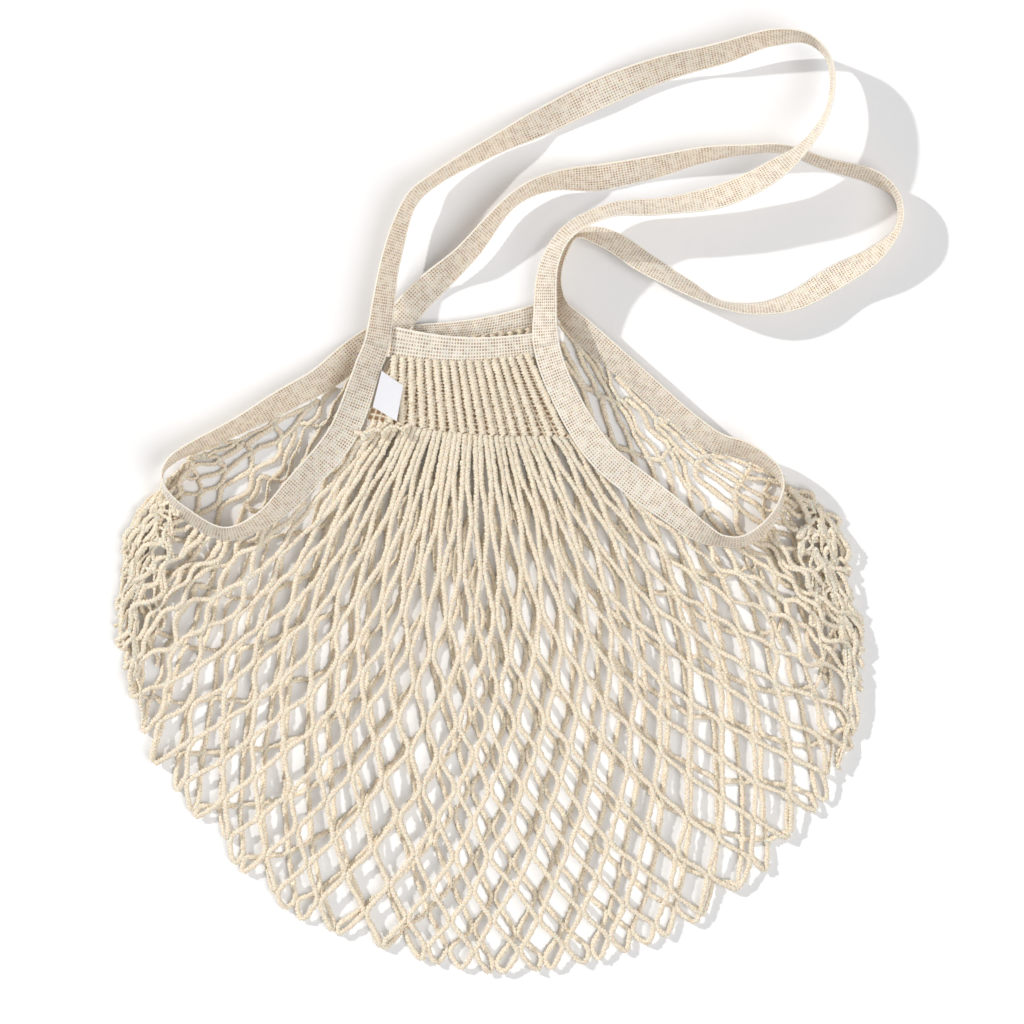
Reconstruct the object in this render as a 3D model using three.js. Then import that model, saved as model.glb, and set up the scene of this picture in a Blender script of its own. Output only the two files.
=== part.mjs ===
// A cotton string shopping bag lying flat on its back, in millimetres, +Z up, handles towards +Y.
// One long woven tape runs as a closed ring: front handle, right opening, back handle, left
// opening. Between its four corners two short bands close the mouth, each with a ribbed knitted
// yoke below it, and the coarse knotless net hangs from the yokes and from the two openings.
import * as THREE from 'three';

// Driving dimensions
const tapeWidth = 18;
const tapeThickness = 1.5;
const bandWidth = 12;
const bandThickness = 1.8;
const yokeLength = 40;
const yokeThickness = 2.6;
const grooveDepth = 1.4;
const ribPitch = 5;
const frontSag = 4;
const backSag = 3;
const backFlare = 9;
const netWall = 2;
const legWidth = 4;
const clearance = 0.3;
const bandEndRoom = 1.2;
const mouthGap = 6.6;
const openingHalfSpan = 185;
const openingDrop = 117;
const handleSpan = 313;
const handleRise = 184;
const netReach = 410;
const fanLift = 32;
const backFanLift = 117;
const ringStep = 41;
const foldRise = 2.6;
const foldRun = 14;
const bodyLoft = 9;
const rimDrop = 0.4;
const gatherRise = 6;
const labelWidth = 14;
const labelHeight = 21;
const labelThickness = 1;
const labelInset = 0.8;
const labelDrop = 8;

// Places that follow from them: the mouth's middle is at x = 0, the band corners at y = bandLine
const bandLine = 95;
const middle = -20;
const cornerShare = 0.305;
const handleCorner = -cornerShare * openingHalfSpan;
const backLevel = netWall + clearance;
const frontLevel = backLevel + yokeThickness + mouthGap;
const frontApex = new THREE.Vector2(middle, bandLine + fanLift);
const backApex = new THREE.Vector2(middle, bandLine + backFanLift);

// The tape's ring, a row for each bend. Columns: across, a share of handleSpan from the left
// corner or of openingHalfSpan from the middle; up, a share of handleRise or openingDrop above the
// band corners; lean, the angle in degrees by which the tape's free edge turns from its left-hand
// side towards up; held, the share of the bag's level that carries it; lift, the height of its
// lower edge as a share of tapeWidth.
const frontHandleRows = [
  [-0.004, 0.000, 34, 1.00, 0.00],
  [0.023, 0.277, 53, 0.40, 0.00],
  [0.063, 0.473, 64, 0.08, 0.00],
  [0.111, 0.545, 70, 0.00, 0.00],
  [0.203, 0.636, 58, 0.00, 0.00],
  [0.318, 0.734, 30, 0.00, 0.00],
  [0.424, 0.822, 10, 0.00, 0.02],
  [0.541, 0.900, 37, 0.00, 0.10],
  [0.658, 0.952, 48, 0.00, 0.28],
  [0.755, 1.001, 62, 0.00, 0.48],
  [0.822, 0.995, 76, 0.00, 0.62],
  [0.863, 0.923, 84, 0.00, 0.74],
  [0.863, 0.779, 84, 0.00, 0.90],
  [0.822, 0.655, 72, 0.00, 1.05],
  [0.755, 0.561, 46, 0.00, 1.06],
  [0.658, 0.483, 38, 0.00, 0.80],
  [0.541, 0.447, 54, 0.00, 0.62],
  [0.443, 0.434, 60, 0.00, 0.64],
  [0.362, 0.362, 62, 0.10, 0.72],
  [0.328, 0.261, 54, 0.40, 0.46],
  [0.320, 0.114, 40, 0.80, 0.12],
];
const rightOpeningRows = [
  [0.240, 0.000, 30, 1.00, 0.00],
  [0.285, -0.215, 28, 1.00, 0.00],
  [0.412, -0.549, 20, 0.98, 0.00],
  [0.545, -0.728, 17, 0.95, 0.00],
  [0.642, -0.841, 30, 0.85, 0.00],
  [0.743, -0.959, 48, 0.60, 0.00],
  [0.808, -1.000, 66, 0.50, 0.00],
  [0.876, -1.000, 70, 0.46, 0.00],
  [0.941, -0.938, 70, 0.46, 0.00],
  [0.989, -0.831, 76, 0.50, 0.00],
  [1.002, -0.718, 90, 0.50, 0.00],
  [0.973, -0.636, 108, 0.30, 0.00],
  [0.876, -0.538, 122, 0.10, 0.00],
  [0.782, -0.497, 134, 0.00, 0.00],
  [0.486, -0.108, 140, 0.00, 0.00],
  [0.354, 0.077, 140, 0.00, 0.00],
];
const backHandleRows = [
  [0.347, 0.127, 120, 1.00, 0.00],
  [0.341, 0.212, 104, 0.60, 0.00],
  [0.355, 0.307, 103, 0.00, 0.00],
  [0.378, 0.362, 106, 0.00, 0.00],
  [0.433, 0.352, 135, 0.00, 0.00],
  [0.514, 0.267, 137, 0.00, 0.00],
  [0.581, 0.202, 125, 0.00, 0.00],
  [0.658, 0.134, 106, 0.00, 0.00],
  [0.728, 0.121, 114, 0.00, 0.00],
  [0.796, 0.147, 132, 0.00, 0.00],
  [0.874, 0.222, 143, 0.00, 0.00],
  [0.951, 0.300, 122, 0.00, 0.00],
  [0.995, 0.388, 100, 0.00, 0.00],
  [0.993, 0.479, 98, 0.00, 0.00],
  [0.951, 0.541, 114, 0.00, 0.00],
  [0.853, 0.590, 110, 0.00, 0.00],
  [0.776, 0.636, 102, 0.00, 0.00],
  [0.698, 0.633, 107, 0.00, 0.00],
  [0.619, 0.616, 120, 0.00, 0.00],
  [0.541, 0.584, 132, 0.00, 0.00],
  [0.433, 0.548, 150, 0.00, 0.00],
  [0.328, 0.528, 122, 0.00, 0.00],
  [0.261, 0.473, 114, 0.00, 0.00],
  [0.167, 0.293, 132, 0.00, 0.00],
  [0.082, 0.163, 160, 0.30, 0.00],
];
const leftOpeningRows = [
  [-0.263, 0.087, 168, 0.00, 0.00],
  [-0.376, -0.036, 168, 0.00, 0.00],
  [-0.490, -0.179, 148, 0.00, 0.00],
  [-0.584, -0.262, 140, 0.00, 0.00],
  [-0.769, -0.426, 122, 0.00, 0.00],
  [-0.911, -0.533, 110, 0.16, 0.00],
  [-0.966, -0.585, 102, 0.44, 0.00],
  [-0.999, -0.651, 90, 0.58, 0.00],
  [-0.999, -0.728, 78, 0.56, 0.00],
  [-0.973, -0.800, 70, 0.48, 0.00],
  [-0.924, -0.867, 66, 0.48, 0.00],
  [-0.801, -0.964, 64, 0.50, 0.00],
  [-0.675, -0.887, 56, 0.70, 0.00],
  [-0.551, -0.703, 27, 0.92, 0.00],
  [-0.422, -0.456, 18, 0.98, 0.00],
  [-0.334, -0.092, 30, 1.00, 0.00],
];

// How far the folded edge of the net reaches from the fan's apex, a share of netReach for each
// even step of the fan from the left opening to the right one
const foldReach = [0.68, 0.79, 0.868, 0.932, 0.964, 0.992, 0.998, 0.98, 0.938, 0.882, 0.765];

// The net's fan of diamonds: the spokes on each side of the middle one, the shortest leg as a share
// of ringStep, the longest straight run of the rim, and how near two rim joints are made one
const halfSpokes = 9;
const shortLegShare = 0.45;
const rimStep = 26;
const joinedRim = 1.8 * legWidth;

// The net bunches up near both side openings, at this share of the way from the middle
const gatherShare = 0.85;
const gatherSpread = 0.12;

// Rows of the ring, counted from its corners, that the yokes and the bands reach
const yokeRowsLeft = 1.72;
const yokeRowsRight = 1.62;
const backBandRows = 0.1;
const backYokeRows = 0.4;

// The label's edges in plan, in degrees from across
const labelAcross = -20;
const labelDown = -101.5;

const rad = THREE.MathUtils.degToRad;
const up = new THREE.Vector3(0, 0, 1);

function lerp(a, b, t) {
  return a + (b - a) * t;
}

function smooth(t) {
  const u = Math.min(1, Math.max(0, t));
  return u * u * (3 - 2 * u);
}

// The ring of tape: rows become points on its middle line with a lean
function handlePoint([across, rise, lean, held, lift], level) {
  const x = middle + handleCorner + across * handleSpan;
  return { x, y: bandLine + rise * handleRise, lean, base: held * level + lift * tapeWidth };
}

function openingPoint([across, rise, lean, held]) {
  const x = middle + across * openingHalfSpan;
  return { x, y: bandLine + rise * openingDrop, lean, base: lerp(backLevel, frontLevel, held) };
}

const ringRows = [
  ...frontHandleRows.map((row) => handlePoint(row, frontLevel)),
  ...rightOpeningRows.map(openingPoint),
  ...backHandleRows.map((row) => handlePoint(row, backLevel)),
  ...leftOpeningRows.map(openingPoint),
];

const ringLine = new THREE.CatmullRomCurve3(
  ringRows.map((row) => new THREE.Vector3(row.x, row.y, 0)), true, 'centripetal');
const ringLean = new THREE.CatmullRomCurve3(
  ringRows.map((row) => new THREE.Vector3(row.lean, row.base, 0)), true, 'catmullrom', 0.35);

// One section of the tape at a place on the ring, counted in rows
function tapeSection(place) {
  const share = place / ringRows.length;
  const middlePoint = ringLine.getPoint(share);
  const along = ringLine.getTangent(share).normalize();
  const left = new THREE.Vector3(-along.y, along.x, 0);
  const { x: lean, y: base } = ringLean.getPoint(share);
  const toFree = left.multiplyScalar(Math.cos(rad(lean))).addScaledVector(up, Math.sin(rad(lean)));
  const face = new THREE.Vector3().crossVectors(along, toFree);
  const rise = Math.abs(toFree.z) * tapeWidth / 2 + Math.abs(face.z) * tapeThickness / 2;
  middlePoint.z = Math.max(0, base) + rise;
  const netEdge = middlePoint.clone().addScaledVector(toFree, -tapeWidth / 2);
  return { point: middlePoint, along, toFree, face, netEdge, base: Math.max(0, base) };
}

// A closed body from rings of points, with flat ends
function loft(rings) {
  const count = rings[0].length;
  const positions = rings.flat().flatMap((p) => [p.x, p.y, p.z]);
  const index = [];
  for (let i = 0; i + 1 < rings.length; i += 1) {
    for (let j = 0; j < count; j += 1) {
      const a = i * count + j;
      const b = i * count + (j + 1) % count;
      index.push(a, b, a + count, b, b + count, a + count);
    }
  }
  const last = (rings.length - 1) * count;
  for (let j = 1; j + 1 < count; j += 1) {
    index.push(0, j + 1, j);
    index.push(last, last + j, last + j + 1);
  }
  return closedGeometry(positions, index);
}

function closedGeometry(positions, index) {
  const geometry = new THREE.BufferGeometry();
  geometry.setAttribute('position', new THREE.Float32BufferAttribute(positions, 3));
  geometry.setIndex(index);
  geometry.computeVertexNormals();
  return geometry;
}

// The place on the ring that lies a length away from another
function placeAlong(place, length) {
  const step = 0.02;
  const from = ringLine.getPoint(place / ringRows.length);
  const near = (place + Math.sign(length) * step + ringRows.length) % ringRows.length;
  const perRow = from.distanceTo(ringLine.getPoint(near / ringRows.length)) / step;
  return place + length / perRow;
}

// A stretch of the ring's tape between two rows, half a joining gap short at each end
function tapeStretch(firstRow, rowCount) {
  const stepsPerRow = 3;
  const first = placeAlong(firstRow, clearance / 2);
  const last = placeAlong(firstRow + rowCount, -clearance / 2);
  const rings = [];
  const steps = rowCount * stepsPerRow;
  for (let i = 0; i <= steps; i += 1) {
    const section = tapeSection(lerp(first, last, i / steps) % ringRows.length);
    rings.push([[-1, -1], [1, -1], [1, 1], [-1, 1]].map(([across, out]) => section.point.clone()
      .addScaledVector(section.toFree, across * tapeWidth / 2)
      .addScaledVector(section.face, out * tapeThickness / 2)));
  }
  return loft(rings);
}

// Row numbers of the ring's four corners and of its two turns
const frontLeftRow = 0;
const frontRightRow = frontHandleRows.length;
const backRightRow = frontRightRow + rightOpeningRows.length;
const backLeftRow = backRightRow + backHandleRows.length;
const turnOf = (rows) => rows.findIndex((row) => row[2] === 90);
const rightTurn = frontRightRow + turnOf(rightOpeningRows);
const leftTurn = backLeftRow + turnOf(leftOpeningRows);

// The bands and yokes hang between the tape's corners. Each side gives the yoke's four corners
// in plan and the level of its underside.
function planPoint(section, away) {
  const out = section.toFree.clone().setZ(0).normalize().multiplyScalar(-away);
  return new THREE.Vector2(section.netEdge.x + out.x, section.netEdge.y + out.y);
}

const seam = clearance + tapeThickness / 2;
const bandEndGap = seam + bandEndRoom;
const frontBelowLeft = ringRows.length - yokeRowsLeft;
const frontBelowRight = frontRightRow + yokeRowsRight;
const frontSide = {
  level: frontLevel,
  left: (t) => planPoint(tapeSection(lerp(ringRows.length, frontBelowLeft, t) % ringRows.length), seam),
  right: (t) => planPoint(tapeSection(lerp(frontRightRow, frontBelowRight, t)), seam),
  topLeft: planPoint(tapeSection(placeAlong(frontLeftRow, bandWidth)), bandEndGap),
  topRight: planPoint(tapeSection(placeAlong(frontRightRow, -bandWidth)), bandEndGap),
  sag: frontSag,
};
const backLeftPlace = backLeftRow + backBandRows;
const backRightPlace = backRightRow - backBandRows;
const backCornerLeft = planPoint(tapeSection(backLeftPlace), bandEndGap);
const backCornerRight = planPoint(tapeSection(backRightPlace), bandEndGap);
const backSide = {
  level: backLevel,
  left: (t) => backCornerLeft.clone().add(new THREE.Vector2(-backFlare * t, -yokeLength * t)),
  right: (t) => backCornerRight.clone().add(new THREE.Vector2(backFlare * t, -yokeLength * t)),
  topLeft: planPoint(tapeSection(placeAlong(backLeftPlace, -bandWidth)), bandEndGap),
  topRight: planPoint(tapeSection(placeAlong(backRightPlace, bandWidth)), bandEndGap + seam),
  sag: backSag,
};

function sidePoint(side, across, down) {
  const point = side.left(down).lerp(side.right(down), across);
  point.y -= side.sag * Math.sin(Math.PI * across);
  return point;
}

// The band is a short tape along the top of the yoke, from one tape to the other
function band(side) {
  const steps = 8;
  const rings = [];
  for (let i = 0; i <= steps; i += 1) {
    const lower = sidePoint(side, i / steps, 0);
    const upper = side.topLeft.clone().lerp(side.topRight, i / steps);
    upper.y -= side.sag * Math.sin(Math.PI * i / steps);
    const outline = [[lower, 0], [upper, 0], [upper, bandThickness], [lower, bandThickness]];
    rings.push(outline.map(([p, rise]) => new THREE.Vector3(p.x, p.y, side.level + rise)));
  }
  return loft(rings);
}

// The yoke is a cloth of knitted ribs with a groove between each two
function yoke(side) {
  const width = side.left(0).distanceTo(side.right(0));
  const ribs = Math.max(1, Math.round(width / ribPitch));
  const ribProfile = [[0, 0], [0.2, 0.75], [0.5, 1], [0.8, 0.75]];
  const crest = [];
  for (let rib = 0; rib < ribs; rib += 1) {
    for (const [along, height] of ribProfile) {
      crest.push([(rib + along) / ribs, height]);
    }
  }
  crest.push([1, 0]);
  const below = 1.5 * clearance / yokeLength;
  const valley = side.level + yokeThickness - grooveDepth;
  const stations = [0, 0.35, 0.7, 1];
  const tops = stations.map((station) => crest.map(([across, height]) => {
    const p = sidePoint(side, across, lerp(below, 1, station));
    return new THREE.Vector3(p.x, p.y, valley + grooveDepth * height);
  }));
  return ribbedLoft(tops, side.level);
}

// A closed body under rows of points that make its upper face, down to a flat underside
function ribbedLoft(tops, underside) {
  const columns = tops[0].length;
  const size = columns * 2;
  const rings = tops.map((top) => [...top, ...top.map((p) => p.clone().setZ(underside)).reverse()]);
  const positions = rings.flat().flatMap((p) => [p.x, p.y, p.z]);
  const index = [];
  for (let i = 0; i + 1 < rings.length; i += 1) {
    for (let j = 0; j < size; j += 1) {
      const a = i * size + j;
      const b = i * size + (j + 1) % size;
      index.push(a, a + size, b, b, a + size, b + size);
    }
  }
  const last = (rings.length - 1) * size;
  for (let j = 0; j + 1 < columns; j += 1) {
    const opposite = size - 1 - j;
    index.push(j, j + 1, opposite, j + 1, opposite - 1, opposite);
    index.push(last + j, last + opposite, last + j + 1);
    index.push(last + j + 1, last + opposite, last + opposite - 1);
  }
  return closedGeometry(positions, index);
}

// The net's rim lies under the edge that it is sewn to, and on the floor where that edge is low
function rimLevel(level) {
  return Math.max(netWall / 2, level - rimDrop - legWidth / 2);
}

// The mouth of the net in plan: the tape's sewn edge and the yoke's lower edge, as seen from the
// apex of the fan
function rimSamples(side, leftFrom, leftTo, rightFrom, rightTo) {
  const samples = [];
  const steps = 24;
  const addTape = (from, to) => {
    for (let i = 0; i <= steps; i += 1) {
      const section = tapeSection((lerp(from, to, i / steps) + ringRows.length) % ringRows.length);
      samples.push(new THREE.Vector3(section.netEdge.x, section.netEdge.y, rimLevel(section.base)));
    }
  };
  addTape(leftFrom, leftTo);
  for (let i = 0; i <= steps; i += 1) {
    const p = sidePoint(side, i / steps, 1);
    samples.push(new THREE.Vector3(p.x, p.y, side.level - clearance - netWall / 2));
  }
  addTape(rightFrom, rightTo);
  return samples;
}

const frontRim = rimSamples(frontSide, leftTurn, frontBelowLeft, frontBelowRight, rightTurn);
const backRim = rimSamples(
  backSide, leftTurn, backLeftRow + backYokeRows, backRightRow - backYokeRows, rightTurn);

function angleFrom(apex, point) {
  return Math.atan2(point.x - apex.x, apex.y - point.y);
}

// The farthest crossing of a spoke with the rim
function rimPoint(rim, apex, share) {
  const first = angleFrom(apex, rim[0]);
  const last = angleFrom(apex, rim[rim.length - 1]);
  const angle = share < 0 ? -share * first : share * last;
  if (share <= -1) {
    return rim[0].clone();
  }
  if (share >= 1) {
    return rim[rim.length - 1].clone();
  }
  let best = null;
  for (let i = 0; i + 1 < rim.length; i += 1) {
    const a = angleFrom(apex, rim[i]) - angle;
    const b = angleFrom(apex, rim[i + 1]) - angle;
    if (a * b <= 0 && a !== b) {
      const point = rim[i].clone().lerp(rim[i + 1], a / (a - b));
      const reach = Math.hypot(point.x - apex.x, point.y - apex.y);
      if (!best || reach > best.reach) {
        best = { point, reach };
      }
    }
  }
  return best.point;
}

// The folded edge, from the left turn round the bottom to the right turn
function foldPoint(share) {
  const first = angleFrom(frontApex, frontRim[0]);
  const last = angleFrom(frontApex, frontRim[frontRim.length - 1]);
  const turnReach = (p) => Math.hypot(p.x - frontApex.x, p.y - frontApex.y) / netReach;
  const reaches = [turnReach(frontRim[0]), ...foldReach, turnReach(frontRim[frontRim.length - 1])];
  const curve = new THREE.CatmullRomCurve3(
    reaches.map((reach, i) => new THREE.Vector3(i, reach, 0)), false, 'catmullrom', 0.5);
  const within = Math.min(1, Math.max(-1, share));
  const reach = curve.getPoint((within + 1) / 2).y * netReach - legWidth / 2;
  const angle = within < 0 ? -within * first : within * last;
  return new THREE.Vector2(frontApex.x + reach * Math.sin(angle), frontApex.y - reach * Math.cos(angle));
}

// A spoke runs from the fold to the front rim or to the back rim
function spoke(share, side) {
  const fold = foldPoint(share);
  const rim = side > 0 ? rimPoint(frontRim, frontApex, share) : rimPoint(backRim, backApex, share);
  return { fold, rim, length: Math.hypot(rim.x - fold.x, rim.y - fold.y) };
}

// A place on the net: a spoke, and how far from the fold, positive on the front
function netPlace(share, distance) {
  const side = distance >= 0 ? 1 : -1;
  const { fold, rim, length } = spoke(share, side);
  const along = length > 0 ? Math.min(1, Math.abs(distance) / length) : 1;
  const foldLevel = netWall / 2 + foldRise;
  const nearFold = Math.exp(-Math.abs(distance) / foldRun);
  const level = side > 0 ? netWall / 2 + bodyLoft : netWall / 2;
  const fromGather = (Math.abs(share) - gatherShare) / gatherSpread;
  const gather = side > 0 ? gatherRise * Math.exp(-(fromGather ** 2)) : 0;
  const body = lerp(level, foldLevel, nearFold) + gather * Math.sin(Math.PI * along);
  const z = lerp(body, rim.z, smooth(along) ** 3);
  return new THREE.Vector3(lerp(fold.x, rim.x, along), lerp(fold.y, rim.y, along), z);
}

function netNormal(share, distance) {
  const shareStep = 0.01;
  const distanceStep = 3;
  const across = netPlace(share + shareStep, distance).sub(netPlace(share - shareStep, distance));
  const inward = netPlace(share, distance + distanceStep).sub(netPlace(share, distance - distanceStep));
  return across.cross(inward).normalize();
}

// The net as a flat chart of nodes and legs: spokes across, distance from the fold upwards
function netChart() {
  const nodes = [];
  const legs = [];
  const named = new Map();
  const spokeStep = 1 / (halfSpokes + 0.5);
  const lengthAt = (share, side) => (Math.abs(share) >= 1 ? 0 : spoke(share, side).length);
  const inside = (share, distance, margin) => Math.abs(share) < 1
    && Math.abs(distance) < lengthAt(share, distance >= 0 ? 1 : -1) - margin;
  const rows = Math.ceil((netReach + backFanLift) / ringStep);
  for (let k = -halfSpokes; k <= halfSpokes; k += 1) {
    for (let j = -rows; j <= rows; j += 1) {
      const share = k * spokeStep;
      const distance = j * ringStep;
      if ((k + j) % 2 === 0 && inside(share, distance, ringStep * shortLegShare)) {
        named.set(`${k},${j}`, nodes.length);
        nodes.push({ share, distance });
      }
    }
  }
  const rimNodes = [];
  for (const [name, at] of named) {
    const [k, j] = name.split(',').map(Number);
    for (const [dk, dj] of [[1, 1], [1, -1], [-1, 1], [-1, -1]]) {
      const other = named.get(`${k + dk},${j + dj}`);
      if (other !== undefined) {
        if (other > at) {
          legs.push([at, other]);
        }
      } else {
        rimNodes.push({ at, ...rimCrossing(nodes[at], dk * spokeStep, dj * ringStep, lengthAt) });
      }
    }
  }
  addRim(nodes, legs, rimNodes, lengthAt);
  return { nodes, legs };
}

// Where a leg that starts inside meets the rim. A leg whose other node would lie too near the rim
// ends at the rim on that node's spoke instead.
function rimCrossing(node, acrossStep, alongStep, lengthAt) {
  const isWithin = (share, distance) => Math.abs(share) < 1
    && Math.abs(distance) < lengthAt(share, distance >= 0 ? 1 : -1);
  const endShare = node.share + acrossStep;
  const endDistance = node.distance + alongStep;
  if (isWithin(endShare, endDistance)) {
    const side = endDistance >= 0 ? 1 : -1;
    return { share: endShare, distance: side * lengthAt(endShare, side) };
  }
  let near = 0;
  let far = 1;
  for (let i = 0; i < 40; i += 1) {
    const t = (near + far) / 2;
    if (isWithin(node.share + acrossStep * t, node.distance + alongStep * t)) {
      near = t;
    } else {
      far = t;
    }
  }
  return { share: node.share + acrossStep * near, distance: node.distance + alongStep * near };
}

// The rim cord passes through the ends of the cut legs and follows the tape between them. Places on
// it are counted from -1 to 1 along the front and from 1 to 3 along the back.
function addRim(nodes, legs, rimNodes, lengthAt) {
  const wholeRim = 4;
  const order = (node) => (node.distance >= 0 ? node.share : 2 - node.share);
  const sorted = [...rimNodes].sort((a, b) => order(a) - order(b));
  const merged = [];
  for (const node of sorted) {
    const last = merged[merged.length - 1];
    const place = netPlace(node.share, node.distance);
    if (last && last.place.distanceTo(place) < joinedRim) {
      if (!last.from.includes(node.at)) {
        last.from.push(node.at);
      }
    } else {
      merged.push({ ...node, place, from: [node.at] });
    }
  }
  const loopNodes = [];
  merged.forEach((node, i) => {
    const at = nodes.length;
    nodes.push({ share: node.share, distance: node.distance, rim: true });
    for (const from of node.from) {
      legs.push([from, at]);
    }
    loopNodes.push(at);
    const next = merged[(i + 1) % merged.length];
    const gap = node.place.distanceTo(next.place);
    const extra = Math.max(0, Math.round(gap / rimStep) - 1);
    const start = order(node);
    const end = order(next) + (i + 1 === merged.length ? wholeRim : 0);
    for (let e = 1; e <= extra; e += 1) {
      const around = (lerp(start, end, e / (extra + 1)) + 1) % wholeRim - 1;
      const front = around <= 1;
      const share = front ? around : 2 - around;
      loopNodes.push(nodes.length);
      nodes.push({ share, distance: (front ? 1 : -1) * lengthAt(share, front ? 1 : -1), rim: true });
    }
  });
  loopNodes.forEach((at, i) => legs.push([at, loopNodes[(i + 1) % loopNodes.length]]));
}

// The gaps between the legs, found by walking round each with the chart's legs in turning order
function chartGaps({ nodes, legs }) {
  const spread = netReach;
  const flat = nodes.map((node) => [node.share * spread, node.distance]);
  const neighbours = nodes.map(() => []);
  for (const [a, b] of legs) {
    neighbours[a].push(b);
    neighbours[b].push(a);
  }
  neighbours.forEach((list, at) => {
    const turn = (b) => Math.atan2(flat[b][1] - flat[at][1], flat[b][0] - flat[at][0]);
    list.sort((a, b) => turn(a) - turn(b));
  });
  const seen = new Set();
  const gaps = [];
  for (const [a, b] of legs.flatMap(([p, q]) => [[p, q], [q, p]])) {
    if (seen.has(`${a}>${b}`)) {
      continue;
    }
    const gap = [];
    let from = a;
    let to = b;
    while (!seen.has(`${from}>${to}`)) {
      seen.add(`${from}>${to}`);
      gap.push(from);
      const list = neighbours[to];
      const next = list[(list.indexOf(from) + list.length - 1) % list.length];
      from = to;
      to = next;
    }
    gaps.push(gap);
  }
  return { gaps, neighbours };
}

// The net as one closed body: each gap keeps a corner beside each of its nodes, half a leg away,
// and legs, nodes and walls are spanned between those corners on both sides of the net
function netBody() {
  const chart = netChart();
  const { gaps, neighbours } = chartGaps(chart);
  const places = chart.nodes.map((node) => netPlace(node.share, node.distance));
  const normals = chart.nodes.map((node) => netNormal(node.share, node.distance));
  const positions = [];
  const index = [];
  const addPoint = (p) => {
    positions.push(p.x, p.y, Math.max(0, p.z));
    return positions.length / 3 - 1;
  };
  const cornerOf = new Map();
  for (const gap of gaps) {
    gap.forEach((at, i) => {
      const before = gap[(i + gap.length - 1) % gap.length];
      const after = gap[(i + 1) % gap.length];
      const inset = cornerInset(places[before], places[at], places[after], normals[at]);
      const outer = places[at].clone().add(inset).addScaledVector(normals[at], netWall / 2);
      const inner = places[at].clone().add(inset).addScaledVector(normals[at], -netWall / 2);
      const pair = [addPoint(outer), addPoint(inner)];
      cornerOf.set(`${before}>${at}:end`, pair);
      cornerOf.set(`${at}>${after}:start`, pair);
    });
  }
  for (const gap of gaps) {
    gap.forEach((at, i) => {
      const after = gap[(i + 1) % gap.length];
      const [a, aUnder] = cornerOf.get(`${at}>${after}:start`);
      const [b, bUnder] = cornerOf.get(`${at}>${after}:end`);
      index.push(a, b, aUnder, b, bUnder, aUnder);
    });
  }
  for (const [a, b] of chart.legs) {
    const [p, pUnder] = cornerOf.get(`${a}>${b}:start`);
    const [q, qUnder] = cornerOf.get(`${a}>${b}:end`);
    const [r, rUnder] = cornerOf.get(`${b}>${a}:start`);
    const [s, sUnder] = cornerOf.get(`${b}>${a}:end`);
    index.push(p, r, q, p, s, r);
    index.push(pUnder, qUnder, rUnder, pUnder, rUnder, sUnder);
  }
  neighbours.forEach((list, at) => {
    const fan = list.map((to) => cornerOf.get(`${at}>${to}:start`));
    for (let i = 1; i + 1 < fan.length; i += 1) {
      index.push(fan[0][0], fan[i][0], fan[i + 1][0]);
      index.push(fan[0][1], fan[i + 1][1], fan[i][1]);
    }
  });
  return closedGeometry(positions, index);
}

// The step from a node into a gap that leaves half a leg's width on both sides, kept short where
// two legs run almost side by side
function cornerInset(before, at, after, normal) {
  const narrowest = 0.12;
  const longestInset = 1.6 * legWidth;
  const inwardOf = (from, to) => new THREE.Vector3().crossVectors(normal, to.clone().sub(from)).normalize();
  const first = inwardOf(before, at);
  const second = inwardOf(at, after);
  const scale = legWidth / 2 / Math.max(narrowest, 1 + first.dot(second));
  return first.add(second).multiplyScalar(scale).clampLength(0, longestInset);
}

// A plain woven label on the yoke, beside the left tape
function label() {
  const direction = (degrees) => new THREE.Vector3(Math.cos(rad(degrees)), Math.sin(rad(degrees)), 0);
  const width = direction(labelAcross).multiplyScalar(labelWidth);
  const height = direction(labelDown).multiplyScalar(labelHeight);
  const corner = sidePoint(frontSide, labelInset / yokeLength, labelDrop / yokeLength);
  const low = frontLevel + yokeThickness + clearance;
  const start = new THREE.Vector3(corner.x, corner.y, low);
  const outline = [[0, 0], [0, 1], [1, 1], [1, 0]].map(([across, down]) => start.clone()
    .addScaledVector(width, across).addScaledVector(height, down));
  const raised = outline.map((p) => p.clone().setZ(low + labelThickness));
  return loft([outline, raised]);
}

const bag = new THREE.Group();

function addPiece(name, geometry, color, roughness) {
  const material = new THREE.MeshStandardMaterial({ color, roughness, metalness: 0 });
  const mesh = new THREE.Mesh(geometry, material);
  mesh.name = name;
  bag.add(mesh);
}

const cotton = 0xe9dcc6;
const stringCotton = 0xe6d3b3;
addPiece('front_handle', tapeStretch(frontLeftRow, frontHandleRows.length), cotton, 0.9);
addPiece('right_opening_tape', tapeStretch(frontRightRow, rightOpeningRows.length), cotton, 0.9);
addPiece('back_handle', tapeStretch(backRightRow, backHandleRows.length), cotton, 0.9);
addPiece('left_opening_tape', tapeStretch(backLeftRow, leftOpeningRows.length), cotton, 0.9);
addPiece('front_band', band(frontSide), cotton, 0.9);
addPiece('back_band', band(backSide), cotton, 0.9);
addPiece('front_yoke', yoke(frontSide), stringCotton, 0.95);
addPiece('back_yoke', yoke(backSide), stringCotton, 0.95);
addPiece('net_body', netBody(), stringCotton, 0.95);
addPiece('label', label(), 0xf2f0ee, 0.8);

// The origin is on the floor under the middle of the whole bag
const extent = new THREE.Box3().setFromObject(bag);
const centre = extent.getCenter(new THREE.Vector3());
bag.position.set(-centre.x, -centre.y, -extent.min.z);

export default bag;
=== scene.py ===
import math

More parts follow.
